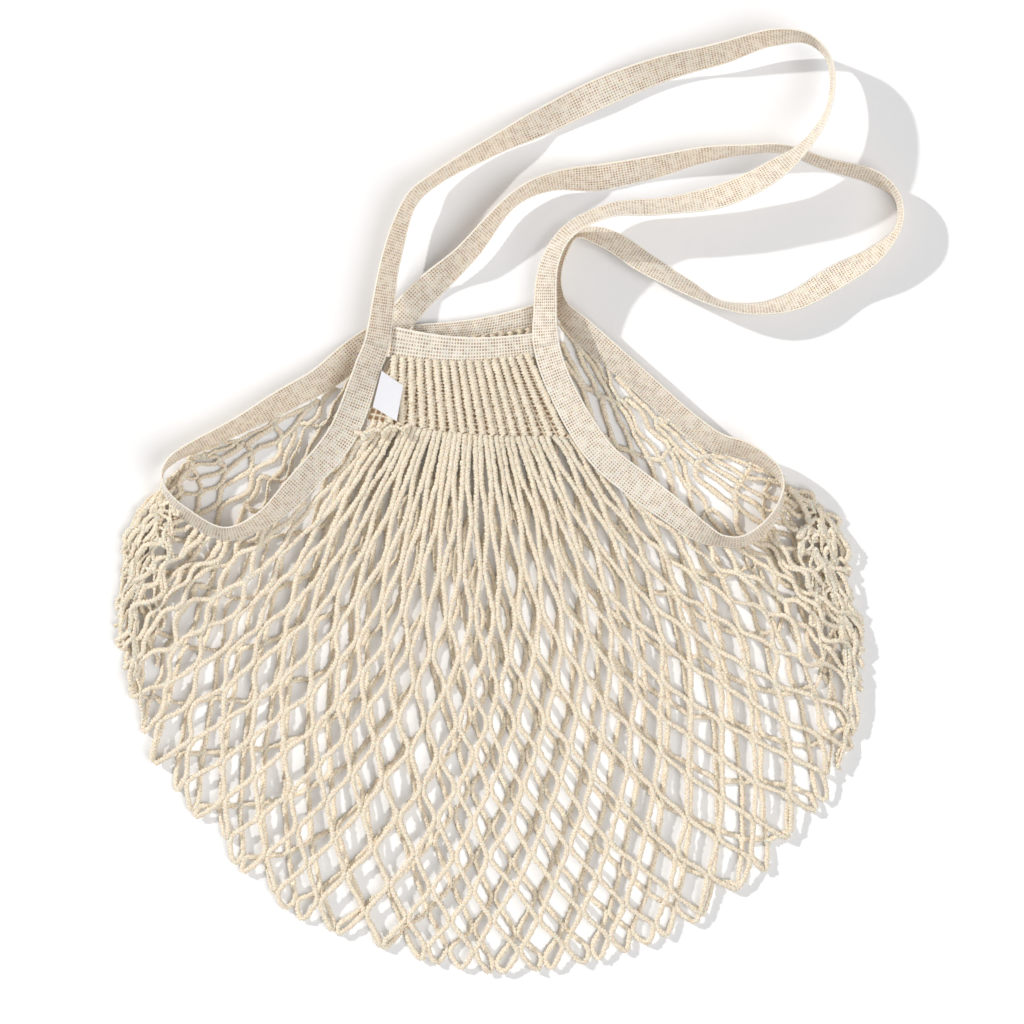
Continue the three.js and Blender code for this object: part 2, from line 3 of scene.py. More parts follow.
import bpy
import numpy as np
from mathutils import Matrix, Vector


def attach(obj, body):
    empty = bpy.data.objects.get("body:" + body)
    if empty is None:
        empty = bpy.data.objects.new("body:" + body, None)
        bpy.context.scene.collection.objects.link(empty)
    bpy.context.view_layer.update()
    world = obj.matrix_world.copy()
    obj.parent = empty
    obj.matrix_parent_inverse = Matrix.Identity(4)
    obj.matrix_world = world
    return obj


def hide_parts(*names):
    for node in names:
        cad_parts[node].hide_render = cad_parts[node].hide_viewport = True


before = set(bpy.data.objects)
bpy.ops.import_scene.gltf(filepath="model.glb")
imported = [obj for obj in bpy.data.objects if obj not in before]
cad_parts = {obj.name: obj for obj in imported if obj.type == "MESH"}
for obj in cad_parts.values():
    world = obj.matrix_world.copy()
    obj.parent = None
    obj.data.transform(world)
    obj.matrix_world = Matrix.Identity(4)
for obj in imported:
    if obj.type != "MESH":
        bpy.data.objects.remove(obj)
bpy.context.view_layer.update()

# Camera, floor and light
# The bag lies on a white studio table and is seen from straight above. A hard key light stands low
# on the left, so its shadows fall to the right and a little down. A wide soft light on the right
# fills them and leaves faint shadows on the left of what stands up.
MM = 0.001
VIEW_WIDTH = 614.4
VIEW_CENTRE = (0.56, -7.6)
NET_LEVEL = 6.0
LENS = 200.0
SENSOR = 36.0
KEY_ENERGY = 2.2
KEY_SPREAD = 1.5
KEY_TURN = -30.0
KEY_HEIGHT = 29.0
FILL_ENERGY = 1.5
FILL_SPREAD = 42.0
FILL_TURN = 150.0
FILL_HEIGHT = 56.0
SKY_ENERGY = 0.37
TABLE_HALF = 2.5

camera_data = bpy.data.cameras.new("studio_camera")
camera_data.lens = LENS
camera_data.sensor_width = SENSOR
camera_data.clip_end = 50.0
camera = bpy.data.objects.new("studio_camera", camera_data)
bpy.context.scene.collection.objects.link(camera)
camera_height = (VIEW_WIDTH * LENS / SENSOR + NET_LEVEL) * MM
camera.location = (VIEW_CENTRE[0] * MM, VIEW_CENTRE[1] * MM, camera_height)
bpy.context.scene.camera = camera
bpy.context.scene.view_settings.view_transform = "Standard"


def add_sun(name, energy, spread, colour, shadow_turn, height):
    """A sun lamp at a height above the table, whose shadows fall the way of shadow_turn."""
    data = bpy.data.lights.new(name, "SUN")
    data.energy = energy
    data.angle = math.radians(spread)
    data.color = colour
    lamp = bpy.data.objects.new(name, data)
    bpy.context.scene.collection.objects.link(lamp)
    turn = math.radians(shadow_turn)
    rise = math.radians(height)
    shine = Vector((math.cos(turn) * math.cos(rise), math.sin(turn) * math.cos(rise), -math.sin(rise)))
    lamp.rotation_euler = shine.to_track_quat("-Z", "Y").to_euler()


add_sun("key_light", KEY_ENERGY, KEY_SPREAD, (1.0, 0.985, 0.96), KEY_TURN, KEY_HEIGHT)
add_sun("fill_light", FILL_ENERGY, FILL_SPREAD, (1.0, 0.99, 0.98), FILL_TURN, FILL_HEIGHT)

studio = bpy.data.worlds.new("studio")
bpy.context.scene.world = studio
studio.use_nodes = True
studio.node_tree.nodes["Background"].inputs["Color"].default_value = (0.96, 0.975, 1.0, 1.0)
studio.node_tree.nodes["Background"].inputs["Strength"].default_value = SKY_ENERGY


# Table top
# Matt white laminate, with a very faint mottle about 170 mm wide


def linear(hex_colour):
    """A colour given as sRGB hex, as the renderer's linear values."""
    channels = [int(hex_colour[i:i + 2], 16) / 255 for i in (1, 3, 5)]
    return tuple(c / 12.92 if c <= 0.04045 else ((c + 0.055) / 1.055) ** 2.4 for c in channels) + (1.0,)


def add_node(tree, kind, settings=None, inputs=None):
    """Adds one node: its settings by name, and its inputs as values or as sockets to link."""
    made = tree.nodes.new(kind)
    for name, value in (settings or {}).items():
        setattr(made, name, value)
    for name, value in (inputs or {}).items():
        if isinstance(value, bpy.types.NodeSocket):
            tree.links.new(value, made.inputs[name])
        else:
            made.inputs[name].default_value = value
    return made


def new_material(name, **shader_values):
    """A material with its shader's own sockets set."""
    material = bpy.data.materials.new(name)
    material.use_nodes = True
    shader = material.node_tree.nodes["Principled BSDF"]
    for socket, value in shader_values.items():
        shader.inputs[socket.replace("_", " ")].default_value = value
    return material, material.node_tree, shader


def add_object(name, mesh):
    made = bpy.data.objects.new(name, mesh)
    bpy.context.scene.collection.objects.link(made)
    return made


table_material, tree, shader = new_material("white_laminate", Roughness=0.75, IOR=1.45)
place = add_node(tree, "ShaderNodeTexCoord")
mottle = add_node(tree, "ShaderNodeTexNoise", None, {
    "Vector": place.outputs["Object"], "Scale": 6.0, "Detail": 3.0})
tint = add_node(tree, "ShaderNodeMix", {"data_type": "RGBA"}, {
    "Factor": mottle.outputs["Fac"], 6: linear("#f6f6f7"), 7: linear("#fbfbfb")})
tree.links.new(tint.outputs[2], shader.inputs["Base Color"])
table_mesh = bpy.data.meshes.new("table_top")
table_corners = [(x * TABLE_HALF, y * TABLE_HALF, 0) for x, y in ((-1, -1), (1, -1), (1, 1), (-1, 1))]
table_mesh.from_pydata(table_corners, [], [(0, 1, 2, 3)])
table_mesh.materials.append(table_material)
table_top = add_object("table_top", table_mesh)

# The tape
# One long cotton tape, woven as an open canvas with plain selvedges, runs as a ring: front handle,
# right opening, back handle, left opening. It is sewn to the bands and to the net on one edge and
# stands or lies as it falls.
# Rows: across, up, lean in degrees, share of the level it is held at, and lift in tape widths. The
# bends on the left of both handles stand a little higher than in the solids.
TAPE_WIDTH = 18.0
TAPE_THICKNESS = 1.5
CLOTH_THICKNESS = 0.8
BAG_SHIFT = np.array([-3.04, -2.51, 0.0])
OPENING_HALF_SPAN = 185.0
OPENING_DROP = 117.0
HANDLE_SPAN = 313.0
HANDLE_RISE = 184.0
BAND_LINE = 95.0
MIDDLE = -20.0
HANDLE_CORNER = -0.305 * OPENING_HALF_SPAN
BACK_LEVEL = 2.3
FRONT_LEVEL = 11.5
LEAN_TENSION = 0.35
FRONT_HANDLE_ROWS = [
    (-0.004, 0.000, 34, 1.00, 0.00), (0.023, 0.277, 53, 0.70, 0.00), (0.063, 0.473, 64, 0.08, 0.40),
    (0.111, 0.545, 70, 0.00, 0.22), (0.203, 0.636, 58, 0.00, 0.04), (0.318, 0.734, 30, 0.00, 0.04),
    (0.424, 0.822, 10, 0.00, 0.12), (0.541, 0.900, 37, 0.00, 0.10), (0.658, 0.952, 48, 0.00, 0.28),
    (0.755, 1.001, 62, 0.00, 0.48), (0.822, 0.995, 76, 0.00, 0.62), (0.863, 0.923, 84, 0.00, 0.74),
    (0.863, 0.779, 84, 0.00, 0.90), (0.822, 0.655, 72, 0.00, 1.05), (0.755, 0.561, 46, 0.00, 1.06),
    (0.658, 0.483, 38, 0.00, 0.80), (0.541, 0.447, 54, 0.00, 0.62), (0.443, 0.434, 60, 0.00, 0.64),
    (0.362, 0.362, 62, 0.10, 0.72), (0.328, 0.261, 54, 0.40, 0.46), (0.320, 0.114, 40, 0.80, 0.12)]
RIGHT_OPENING_ROWS = [
    (0.240, 0.000, 30, 1.00), (0.285, -0.215, 28, 1.00), (0.412, -0.549, 20, 0.98),
    (0.545, -0.728, 17, 0.95), (0.642, -0.841, 30, 0.85), (0.743, -0.959, 48, 0.60),
    (0.808, -1.000, 66, 0.50), (0.876, -1.000, 70, 0.46), (0.941, -0.938, 70, 0.46),
    (0.989, -0.831, 76, 0.50), (1.002, -0.718, 90, 0.50), (0.973, -0.636, 108, 0.30),
    (0.876, -0.538, 122, 0.10), (0.782, -0.497, 134, 0.00), (0.486, -0.108, 140, 0.00),
    (0.354, 0.077, 140, 0.00)]
BACK_HANDLE_ROWS = [
    (0.347, 0.127, 120, 1.00, 0.00), (0.341, 0.212, 104, 0.60, 0.00), (0.355, 0.307, 103, 0.00, 0.00),
    (0.378, 0.362, 106, 0.00, 0.00), (0.433, 0.352, 135, 0.00, 0.00), (0.514, 0.267, 137, 0.00, 0.00),
    (0.581, 0.202, 125, 0.00, 0.00), (0.658, 0.134, 106, 0.00, 0.00), (0.728, 0.121, 114, 0.00, 0.00),
    (0.796, 0.147, 132, 0.00, 0.00), (0.874, 0.222, 143, 0.00, 0.00), (0.951, 0.300, 122, 0.00, 0.00),
    (0.995, 0.388, 100, 0.00, 0.00), (0.993, 0.479, 98, 0.00, 0.00), (0.951, 0.541, 114, 0.00, 0.00),
    (0.853, 0.590, 110, 0.00, 0.00), (0.776, 0.636, 102, 0.00, 0.00), (0.698, 0.633, 107, 0.00, 0.00),
    (0.619, 0.616, 120, 0.00, 0.00), (0.541, 0.584, 132, 0.00, 0.00), (0.433, 0.548, 150, 0.00, 0.00),
    (0.328, 0.528, 122, 0.00, 0.20), (0.261, 0.473, 114, 0.00, 0.28), (0.167, 0.293, 132, 0.00, 0.22),
    (0.082, 0.163, 160, 0.30, 0.00)]
LEFT_OPENING_ROWS = [
    (-0.263, 0.087, 168, 0.00), (-0.376, -0.036, 168, 0.00), (-0.490, -0.179, 148, 0.00),
    (-0.584, -0.262, 140, 0.00), (-0.769, -0.426, 122, 0.00), (-0.911, -0.533, 110, 0.16),
    (-0.966, -0.585, 102, 0.44), (-0.999, -0.651, 90, 0.58), (-0.999, -0.728, 78, 0.56),
    (-0.973, -0.800, 70, 0.48), (-0.924, -0.867, 66, 0.48), (-0.801, -0.964, 64, 0.50),
    (-0.675, -0.887, 56, 0.70), (-0.551, -0.703, 27, 0.92), (-0.422, -0.456, 18, 0.98),
    (-0.334, -0.092, 30, 1.00)]


def handle_bend(row, level):
    across, rise, lean, held, lift = row
    x = MIDDLE + HANDLE_CORNER + across * HANDLE_SPAN
    return x, BAND_LINE + rise * HANDLE_RISE, lean, held * level + lift * TAPE_WIDTH


def opening_bend(row):
    across, rise, lean, held = row
    x = MIDDLE + across * OPENING_HALF_SPAN
    return x, BAND_LINE + rise * OPENING_DROP, lean, BACK_LEVEL + (FRONT_LEVEL - BACK_LEVEL) * held


ring = np.array(
    [handle_bend(row, FRONT_LEVEL) for row in FRONT_HANDLE_ROWS]
    + [opening_bend(row) for row in RIGHT_OPENING_ROWS]
    + [handle_bend(row, BACK_LEVEL) for row in BACK_HANDLE_ROWS]
    + [opening_bend(row) for row in LEFT_OPENING_ROWS])
RING_ROWS = len(ring)
FRONT_LEFT = 0
FRONT_RIGHT = len(FRONT_HANDLE_ROWS)
BACK_RIGHT = FRONT_RIGHT + len(RIGHT_OPENING_ROWS)
BACK_LEFT = BACK_RIGHT + len(BACK_HANDLE_ROWS)
RIGHT_TURN = FRONT_RIGHT + 10
LEFT_TURN = BACK_LEFT + 7


def hermite(start, end, slope_in, slope_out, t):
    """A cubic between two values, and its slope."""
    c2 = -3 * start + 3 * end - 2 * slope_in - slope_out
    c3 = 2 * start - 2 * end + slope_in + slope_out
    return start + slope_in * t + c2 * t ** 2 + c3 * t ** 3, slope_in + 2 * c2 * t + 3 * c3 * t ** 2


def even_slopes(p0, p1, p2, p3, d0, d1, d2):
    """The slopes of a smooth line at its two middle points, with no loops where they lie close."""
    slope_in = ((p1 - p0) / d0 - (p2 - p0) / (d0 + d1) + (p2 - p1) / d1) * d1
    slope_out = ((p2 - p1) / d1 - (p3 - p1) / (d1 + d2) + (p3 - p2) / d2) * d1
    return slope_in, slope_out


def tape_sections(places):
    """Middle line, direction, way to the free edge, face and base of the tape, at places in rows."""
    places = np.asarray(places, float) % RING_ROWS
    at = np.floor(places).astype(int)
    t = (places - at)[:, None]
    p0, p1, p2, p3 = (ring[(at + k) % RING_ROWS] for k in (-1, 0, 1, 2))
    d0, d1, d2 = (np.linalg.norm(b[:, :2] - a[:, :2], axis=1)[:, None] ** 0.5 for a, b in
                  ((p0, p1), (p1, p2), (p2, p3)))
    slope_in, slope_out = even_slopes(p0, p1, p2, p3, d0, d1, d2)
    line, direction = hermite(p1[:, :2], p2[:, :2], slope_in[:, :2], slope_out[:, :2], t)
    turned, _ = hermite(
        p1[:, 2:], p2[:, 2:], LEAN_TENSION * (p2 - p0)[:, 2:], LEAN_TENSION * (p3 - p1)[:, 2:], t)
    lean = np.radians(turned[:, 0])
    base = np.maximum(0, turned[:, 1])
    along = direction / np.linalg.norm(direction, axis=1)[:, None]
    flat = np.cos(lean)
    to_free = np.stack([-along[:, 1] * flat, along[:, 0] * flat, np.sin(lean)], axis=1)
    along = np.concatenate([along, np.zeros((len(along), 1))], axis=1)
    face = np.cross(along, to_free)
    rise = np.abs(to_free[:, 2]) * TAPE_WIDTH / 2 + np.abs(face[:, 2]) * TAPE_THICKNESS / 2
    middle_line = np.column_stack([line, base + rise])
    return middle_line, along, to_free, face, base


def net_edge(places):
    """The edge of the tape that the net or the yoke is sewn to, and the level that it lies on."""
    middle_line, _, to_free, _, base = tape_sections(places)
    return middle_line - to_free * TAPE_WIDTH / 2, base


# Open canvas weave: the threads cross every 1.75 mm, with a small square pit between them on both
# faces
WEAVE_PITCH = 1.75
SELVEDGE = 0.7
TAPE_PITS = 10
TAPE_CUP = 0.5
MEASURING_STEPS = 60


def new_maker(name, inputs, result):
    """A node tree with named inputs of given kinds, and one shape as its result."""
    maker = bpy.data.node_groups.new(name, "GeometryNodeTree")
    for label, kind in inputs.items():
        maker.interface.new_socket(label, in_out="INPUT", socket_type=f"NodeSocket{kind}")
    maker.interface.new_socket(result, in_out="OUTPUT", socket_type="NodeSocketGeometry")
    return maker, add_node(maker, "NodeGroupInput")


weave, given = new_maker("open_canvas_weave", {
    "Cloth": "Geometry", "Pit Share": "Float", "Pit Depth": "Float", "Thickness": "Float",
    "Thread Relief": "Float", "Finish": "Material"}, "Cloth")
is_open = add_node(weave, "GeometryNodeInputNamedAttribute", {"data_type": "BOOLEAN"}, {
    "Name": "open_cell"})
cell = add_node(weave, "GeometryNodeExtrudeMesh", {"mode": "FACES"}, {
    "Mesh": given.outputs["Cloth"], "Selection": is_open.outputs["Attribute"], "Offset Scale": 0.0,
    "Individual": True})
pit_floor = add_node(weave, "GeometryNodeScaleElements", {"domain": "FACE"}, {
    "Geometry": cell.outputs["Mesh"], "Selection": cell.outputs["Top"],
    "Scale": given.outputs["Pit Share"]})
# The pit floors are marked so that the finish can paint them dark as painted shade
marked = add_node(weave, "GeometryNodeStoreNamedAttribute", {"data_type": "FLOAT", "domain": "POINT"}, {
    "Geometry": pit_floor.outputs["Geometry"], "Selection": cell.outputs["Top"], "Name": "pit",
    "Value": 1.0})
crossing = add_node(weave, "GeometryNodeInputNamedAttribute", {"data_type": "FLOAT"}, {"Name": "crossing"})
half_back = add_node(weave, "ShaderNodeMath", {"operation": "MULTIPLY_ADD"}, {
    0: crossing.outputs["Attribute"], 1: given.outputs["Thread Relief"]})
half_thickness = add_node(weave, "ShaderNodeMath", {"operation": "MULTIPLY"}, {
    0: given.outputs["Thickness"], 1: -0.5})
weave.links.new(half_thickness.outputs[0], half_back.inputs[2])
facing = add_node(weave, "GeometryNodeInputNormal")
wave = add_node(weave, "ShaderNodeVectorMath", {"operation": "SCALE"}, {
    0: facing.outputs["Normal"], "Scale": half_back.outputs[0]})
waved = add_node(weave, "GeometryNodeSetPosition", None, {
    "Geometry": marked.outputs["Geometry"], "Offset": wave.outputs["Vector"]})
upper = add_node(weave, "GeometryNodeExtrudeMesh", {"mode": "FACES"}, {
    "Mesh": waved.outputs["Geometry"], "Offset Scale": given.outputs["Thickness"], "Individual": False})
lower = add_node(weave, "GeometryNodeFlipFaces", None, {"Mesh": waved.outputs["Geometry"]})
both = add_node(weave, "GeometryNodeJoinGeometry")
weave.links.new(upper.outputs["Mesh"], both.inputs["Geometry"])
weave.links.new(lower.outputs["Mesh"], both.inputs["Geometry"])
closed = add_node(weave, "GeometryNodeMergeByDistance", None, {
    "Geometry": both.outputs["Geometry"], "Distance": 0.01 * MM})
pit_of = add_node(weave, "GeometryNodeInputNamedAttribute", {"data_type": "FLOAT"}, {"Name": "pit"})
sunk = add_node(weave, "ShaderNodeMath", {"operation": "MULTIPLY"}, {
    0: pit_of.outputs["Attribute"], 1: given.outputs["Pit Depth"]})
inward = add_node(weave, "ShaderNodeMath", {"operation": "MULTIPLY"}, {0: sunk.outputs[0], 1: -1.0})
dent = add_node(weave, "ShaderNodeVectorMath", {"operation": "SCALE"}, {
    0: facing.outputs["Normal"], "Scale": inward.outputs[0]})
dented = add_node(weave, "GeometryNodeSetPosition", None, {
    "Geometry": closed.outputs["Geometry"], "Offset": dent.outputs["Vector"]})
smooth = add_node(weave, "GeometryNodeSetShadeSmooth", None, {
    "Geometry": dented.outputs["Geometry"], "Shade Smooth": True})
real = add_node(weave, "GeometryNodeRealizeInstances", None, {"Geometry": smooth.outputs["Geometry"]})
finished = add_node(weave, "GeometryNodeSetMaterial", None, {
    "Geometry": real.outputs["Geometry"], "Material": given.outputs["Finish"]})
add_node(weave, "NodeGroupOutput", None, {"Cloth": finished.outputs["Geometry"]})


def make_piece(name, mesh, maker, values):
    """Runs a node tree on a mesh once and keeps the result as the plain mesh of a piece."""
    piece = add_object(name, mesh)
    making = piece.modifiers.new("making", "NODES")
    making.node_group = maker
    for item in maker.interface.items_tree:
        if item.in_out == "INPUT" and item.name in values:
            making[item.identifier] = values[item.name]
    evaluated = piece.evaluated_get(bpy.context.evaluated_depsgraph_get())
    made = bpy.data.meshes.new_from_object(evaluated)
    piece.modifiers.remove(making)
    piece.data = made
    return piece


def cloth_grid(name, points, open_columns):
    """A grid of cells as a mesh: points is rows by columns by 3, in millimetres of the plan."""
    rows, columns = points.shape[:2]
    placed = (points + BAG_SHIFT) * MM
    faces = []
    opened = []
    for i in range(rows - 1):
        for j in range(columns - 1):
            a = i * columns + j
            faces.append((a, a + 1, a + columns + 1, a + columns))
            opened.append(bool(open_columns[j]))
    mesh = bpy.data.meshes.new(name)
    mesh.from_pydata(placed.reshape(-1, 3).tolist(), [], faces)
    cells = mesh.attributes.new("open_cell", "BOOLEAN", "FACE")
    cells.data.foreach_set("value", opened)
    parity = mesh.attributes.new("crossing", "FLOAT", "POINT")
    row_number, column_number = np.indices((rows, columns))
    parity.data.foreach_set("value", (1.0 - 2.0 * ((row_number + column_number) % 2)).ravel())
    return mesh


def even_places(first, last, pitch):
    """Places between two rows of the ring, a whole number of pitches apart along the tape."""
    fine = np.linspace(first, last, int((last - first) * MEASURING_STEPS))
    middle_line = tape_sections(fine)[0]
    length = np.concatenate([[0], np.cumsum(np.linalg.norm(np.diff(middle_line, axis=0), axis=1))])
    count = max(2, round(length[-1] / pitch))
    return np.interp(np.linspace(0, length[-1], count + 1), length, fine), length[-1]


def tape_mesh(name, first, last):
    places, length = even_places(first, last, WEAVE_PITCH)
    middle_line, _, to_free, face, _ = tape_sections(places)
    inner = TAPE_WIDTH / 2 - SELVEDGE
    across = np.concatenate([
        [-TAPE_WIDTH / 2], np.linspace(-inner, inner, TAPE_PITS + 1), [TAPE_WIDTH / 2]])
    run = np.linspace(0, length, len(places))
    ripple = 0.35 * np.sin(run / 11.0) + 0.25 * np.sin(run / 6.3 + 1.0)
    cup = TAPE_CUP * (across / (TAPE_WIDTH / 2)) ** 2
    bent = cup[None, :] + ripple[:, None] * (across / TAPE_WIDTH)[None, :]
    points = (middle_line[:, None] + across[None, :, None] * to_free[:, None]
              + bent[:, :, None] * face[:, None])
    points[:, :, 2] = np.maximum(points[:, :, 2], CLOTH_THICKNESS)
    return cloth_grid(name, points, [0] + [1] * TAPE_PITS + [0])


# Unbleached cotton tape: spun yarn, matt and slightly fuzzy, cream with fine flecks. The fibres are
# drawn as 1 mm flecks so that they show. The pits are painted dark brown as painted shade, and how
# dark they are varies every 4 mm.
tape_cotton, tree, shader = new_material(
    "unbleached_cotton_tape", Roughness=0.92, IOR=1.5, Sheen_Weight=0.2, Sheen_Roughness=0.5,
    Subsurface_Weight=0.45, Subsurface_Radius=(1.0, 0.68, 0.44), Subsurface_Scale=0.0014)
place = add_node(tree, "ShaderNodeTexCoord")
fleck = add_node(tree, "ShaderNodeTexNoise", None, {
    "Vector": place.outputs["Object"], "Scale": 900.0, "Detail": 4.0})
cloudy = add_node(tree, "ShaderNodeTexNoise", None, {
    "Vector": place.outputs["Object"], "Scale": 35.0, "Detail": 2.0})
yarn = add_node(tree, "ShaderNodeMix", {"data_type": "RGBA"}, {
    "Factor": fleck.outputs["Fac"], 6: linear("#f0dfca"), 7: linear("#fff6ec")})
tint = add_node(tree, "ShaderNodeMix", {"data_type": "RGBA"}, {
    "Factor": cloudy.outputs["Fac"], 6: yarn.outputs[2], 7: linear("#faf0e3")})
# Painted shade: the pits of the weave are painted dark brown, more or less so every 4 mm
pit_of = add_node(tree, "ShaderNodeAttribute", {"attribute_name": "pit"})
deep = add_node(tree, "ShaderNodeMath", {"operation": "MULTIPLY"}, {
    0: pit_of.outputs["Fac"], 1: pit_of.outputs["Fac"]})
uneven = add_node(tree, "ShaderNodeTexNoise", None, {
    "Vector": place.outputs["Object"], "Scale": 260.0, "Detail": 1.0})
open_share = add_node(tree, "ShaderNodeMapRange", None, {
    "Value": uneven.outputs["Fac"], "From Min": 0.35, "From Max": 0.65, "To Min": 0.35, "To Max": 1.1})
shade = add_node(tree, "ShaderNodeMath", {"operation": "MULTIPLY", "use_clamp": True}, {
    0: deep.outputs[0], 1: open_share.outputs["Result"]})
woven = add_node(tree, "ShaderNodeMix", {"data_type": "RGBA"}, {
    "Factor": shade.outputs[0], 6: tint.outputs[2], 7: linear("#9f8469")})
fuzz = add_node(tree, "ShaderNodeBump", None, {
    "Height": fleck.outputs["Fac"], "Strength": 0.35, "Distance": 0.0004})
tree.links.new(woven.outputs[2], shader.inputs["Base Color"])
tree.links.new(fuzz.outputs["Normal"], shader.inputs["Normal"])

TAPE_SIZES = {
    "Pit Share": 0.38, "Pit Depth": 0.3 * MM, "Thickness": CLOTH_THICKNESS * MM, "Thread Relief": 0.16 * MM,
    "Finish": tape_cotton}
stretches = {
    "front_handle": (FRONT_LEFT, FRONT_RIGHT), "right_opening_tape": (FRONT_RIGHT, BACK_RIGHT),
    "back_handle": (BACK_RIGHT, BACK_LEFT), "left_opening_tape": (BACK_LEFT, RING_ROWS)}
for node, (first, last) in stretches.items():
    tape = make_piece(f"woven_{node}", tape_mesh(node, first, last), weave, TAPE_SIZES)
    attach(tape, "root")
    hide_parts(node)

# Bands
# Two short pieces of the same tape, folded narrow, close the mouth between the handles. Their ends
# are tucked under the long tape and sewn down, and both have slid a little down it, with the top
# edge raised.
BAND_WIDTH = 12.8
BAND_THICKNESS = 1.8
BAND_PITS = 7
YOKE_LENGTH = 40.0
YOKE_THICKNESS = 2.6
SEAM = 0.3 + TAPE_THICKNESS / 2
BAND_END_GAP = SEAM + 1.2
BACK_FLARE = 9.0
BAND_TUCK = 3.0
BAND_DIP = 2.0
BAND_TILT = 2.5


def beside_tape(places, away):
    """Points in plan beside the tape's sewn edge."""
    edge, _ = net_edge(places)
    to_free = tape_sections(places)[2][:, :2]
    out = to_free / np.linalg.norm(to_free, axis=1)[:, None]
    return edge[:, :2] - out * away


def place_along(place, length):
    step = 0.02
    here = tape_sections([place])[0][0, :2]
    near = tape_sections([place + math.copysign(step, length)])[0][0, :2]
    return place + length / (np.linalg.norm(near - here) / step)


class Side:
    """One side of the mouth: the edges that its yoke and band are sewn between."""

    def __init__(self, level, sag, settled, left, right, top_left, top_right):
        self.level = level
        self.sag = sag
        self.settled = settled
        self.left = left
        self.right = right
        self.top_left = top_left
        self.top_right = top_right

    def point(self, across, down):
        across = np.atleast_1d(across)
        left = self.left(down)
        right = self.right(down)
        points = left + (right - left) * across[:, None]
        points[:, 1] -= self.sag * np.sin(math.pi * across) + self.settling(across) * (1 - down)
        return points

    def settling(self, across):
        """How far the band has slid down from its corners, at a share of its length."""
        return self.settled[0] + (self.settled[1] - self.settled[0]) * across


front_low_left = RING_ROWS - 1.72
front_low_right = FRONT_RIGHT + 1.62
front_side = Side(
    FRONT_LEVEL, 4.0, (5.0, 5.5),
    lambda t: beside_tape([RING_ROWS + (front_low_left - RING_ROWS) * t], SEAM)[0],
    lambda t: beside_tape([FRONT_RIGHT + (front_low_right - FRONT_RIGHT) * t], SEAM)[0],
    beside_tape([place_along(FRONT_LEFT, BAND_WIDTH)], BAND_END_GAP)[0],
    beside_tape([place_along(FRONT_RIGHT, -BAND_WIDTH)], BAND_END_GAP)[0])
back_corner_left = beside_tape([BACK_LEFT + 0.1], BAND_END_GAP)[0]
back_corner_right = beside_tape([BACK_RIGHT - 0.1], BAND_END_GAP)[0]
back_side = Side(
    BACK_LEVEL, 3.0, (-2.0, 6.0),
    lambda t: back_corner_left + np.array([-BACK_FLARE * t, -YOKE_LENGTH * t]),
    lambda t: back_corner_right + np.array([BACK_FLARE * t, -YOKE_LENGTH * t]),
    beside_tape([place_along(BACK_LEFT + 0.1, -BAND_WIDTH)], BAND_END_GAP)[0],
    beside_tape([place_along(BACK_RIGHT - 0.1, BAND_WIDTH)], BAND_END_GAP + SEAM)[0])


def band_mesh(name, side):
    lower_left, lower_right = side.left(0), side.right(0)
    length = np.linalg.norm(lower_right - lower_left)
    tuck = BAND_TUCK / length
    count = round((length + 2 * BAND_TUCK) / WEAVE_PITCH)
    across = np.linspace(-tuck, 1 + tuck, count + 1)
    lower = side.point(across, 0)
    upper = side.top_left + (side.top_right - side.top_left) * across[:, None]
    upper[:, 1] -= side.sag * np.sin(math.pi * across) + side.settling(across)
    inner = SELVEDGE / BAND_WIDTH
    up = np.concatenate([[0], np.linspace(inner, 1 - inner, BAND_PITS + 1), [1]])
    plan = lower[:, None] + (upper - lower)[:, None] * up[None, :, None]
    under = np.clip(1 - np.minimum(across + tuck, 1 + tuck - across) / (2 * tuck), 0, 1)
    level = np.full(plan.shape[:2] + (1,), side.level + BAND_THICKNESS / 2)
    level -= BAND_DIP * under[:, None, None] ** 2
    level[:, :, 0] += 0.25 * np.sin(across * 40)[:, None] + BAND_TILT * (up - 0.5)[None, :]
    level = np.maximum(level, CLOTH_THICKNESS)
    return cloth_grid(name, np.concatenate([plan, level], axis=2), [0] + [1] * BAND_PITS + [0])


for node, side in (("front_band", front_side), ("back_band", back_side)):
    band = make_piece(f"woven_{node}", band_mesh(node, side), weave, TAPE_SIZES)
    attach(band, "root")
    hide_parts(node)

# Net
# A knotless net of cotton string. Each string is a narrow knitted cord that zigzags from the front
# yoke down, round the folded edge and up to the back yoke, and is knitted to its neighbours where
# they touch. The strings fan out from a point above the mouth. Reaches from that point were read off
# the photo at 0.6 mm a pixel.
FAN_STEP = 2.01
FAN_CORE = 22
FAN_SIDE_STEP = 1.165
FAN_SIDE = 12
YOKE_HALF_ANGLE = 31.0
APEX = np.array([MIDDLE, BAND_LINE + 32.0])
BACK_APEX = np.array([MIDDLE, BAND_LINE + 117.0])
PIXEL = 0.6
ROW_REACH = np.array([
    138, 185, 230, 278, 324, 363, 397, 432, 464, 497, 530, 565, 598, 630, 660, 690, 720]) * PIXEL
LAST_ROW_STEP = 21.0
LAST_ROW_REACH = 900.0
FOLD_ANGLES = [
    -58.5, -57.3, -56.9, -55.3, -52.6, -47.2, -43.7, -39.8, -35.8, -30.6, -25.9, -19.5, -14.7, -9.6,
    -4.5, 1, 5, 9.6, 14.3, 20.2, 26.8, 30.3, 35.2, 40, 44, 47.2, 50.3, 52.3, 55.5, 57.2, 58.3, 59.6]
FOLD_REACH = np.array([
    361, 372, 397, 421, 444, 488, 509, 533, 560, 583, 605, 637, 655, 660, 672, 683, 684, 683, 678,
    670, 651, 630, 621, 593, 560, 533, 503, 476, 462, 439, 409, 378]) * PIXEL
STRING_WIDTH = 3.2
STRING_DEPTH = 2.2
STITCH = 2.0
FRONT_LOFT = 8.5
FOLD_LEVEL = 3.4
BACK_NET_LEVEL = 1.3
FOLD_RUN = 16.0
RIM_RUN = 14.0
RIM_POINTS = 40
YOKE_EDGE_POINTS = 25
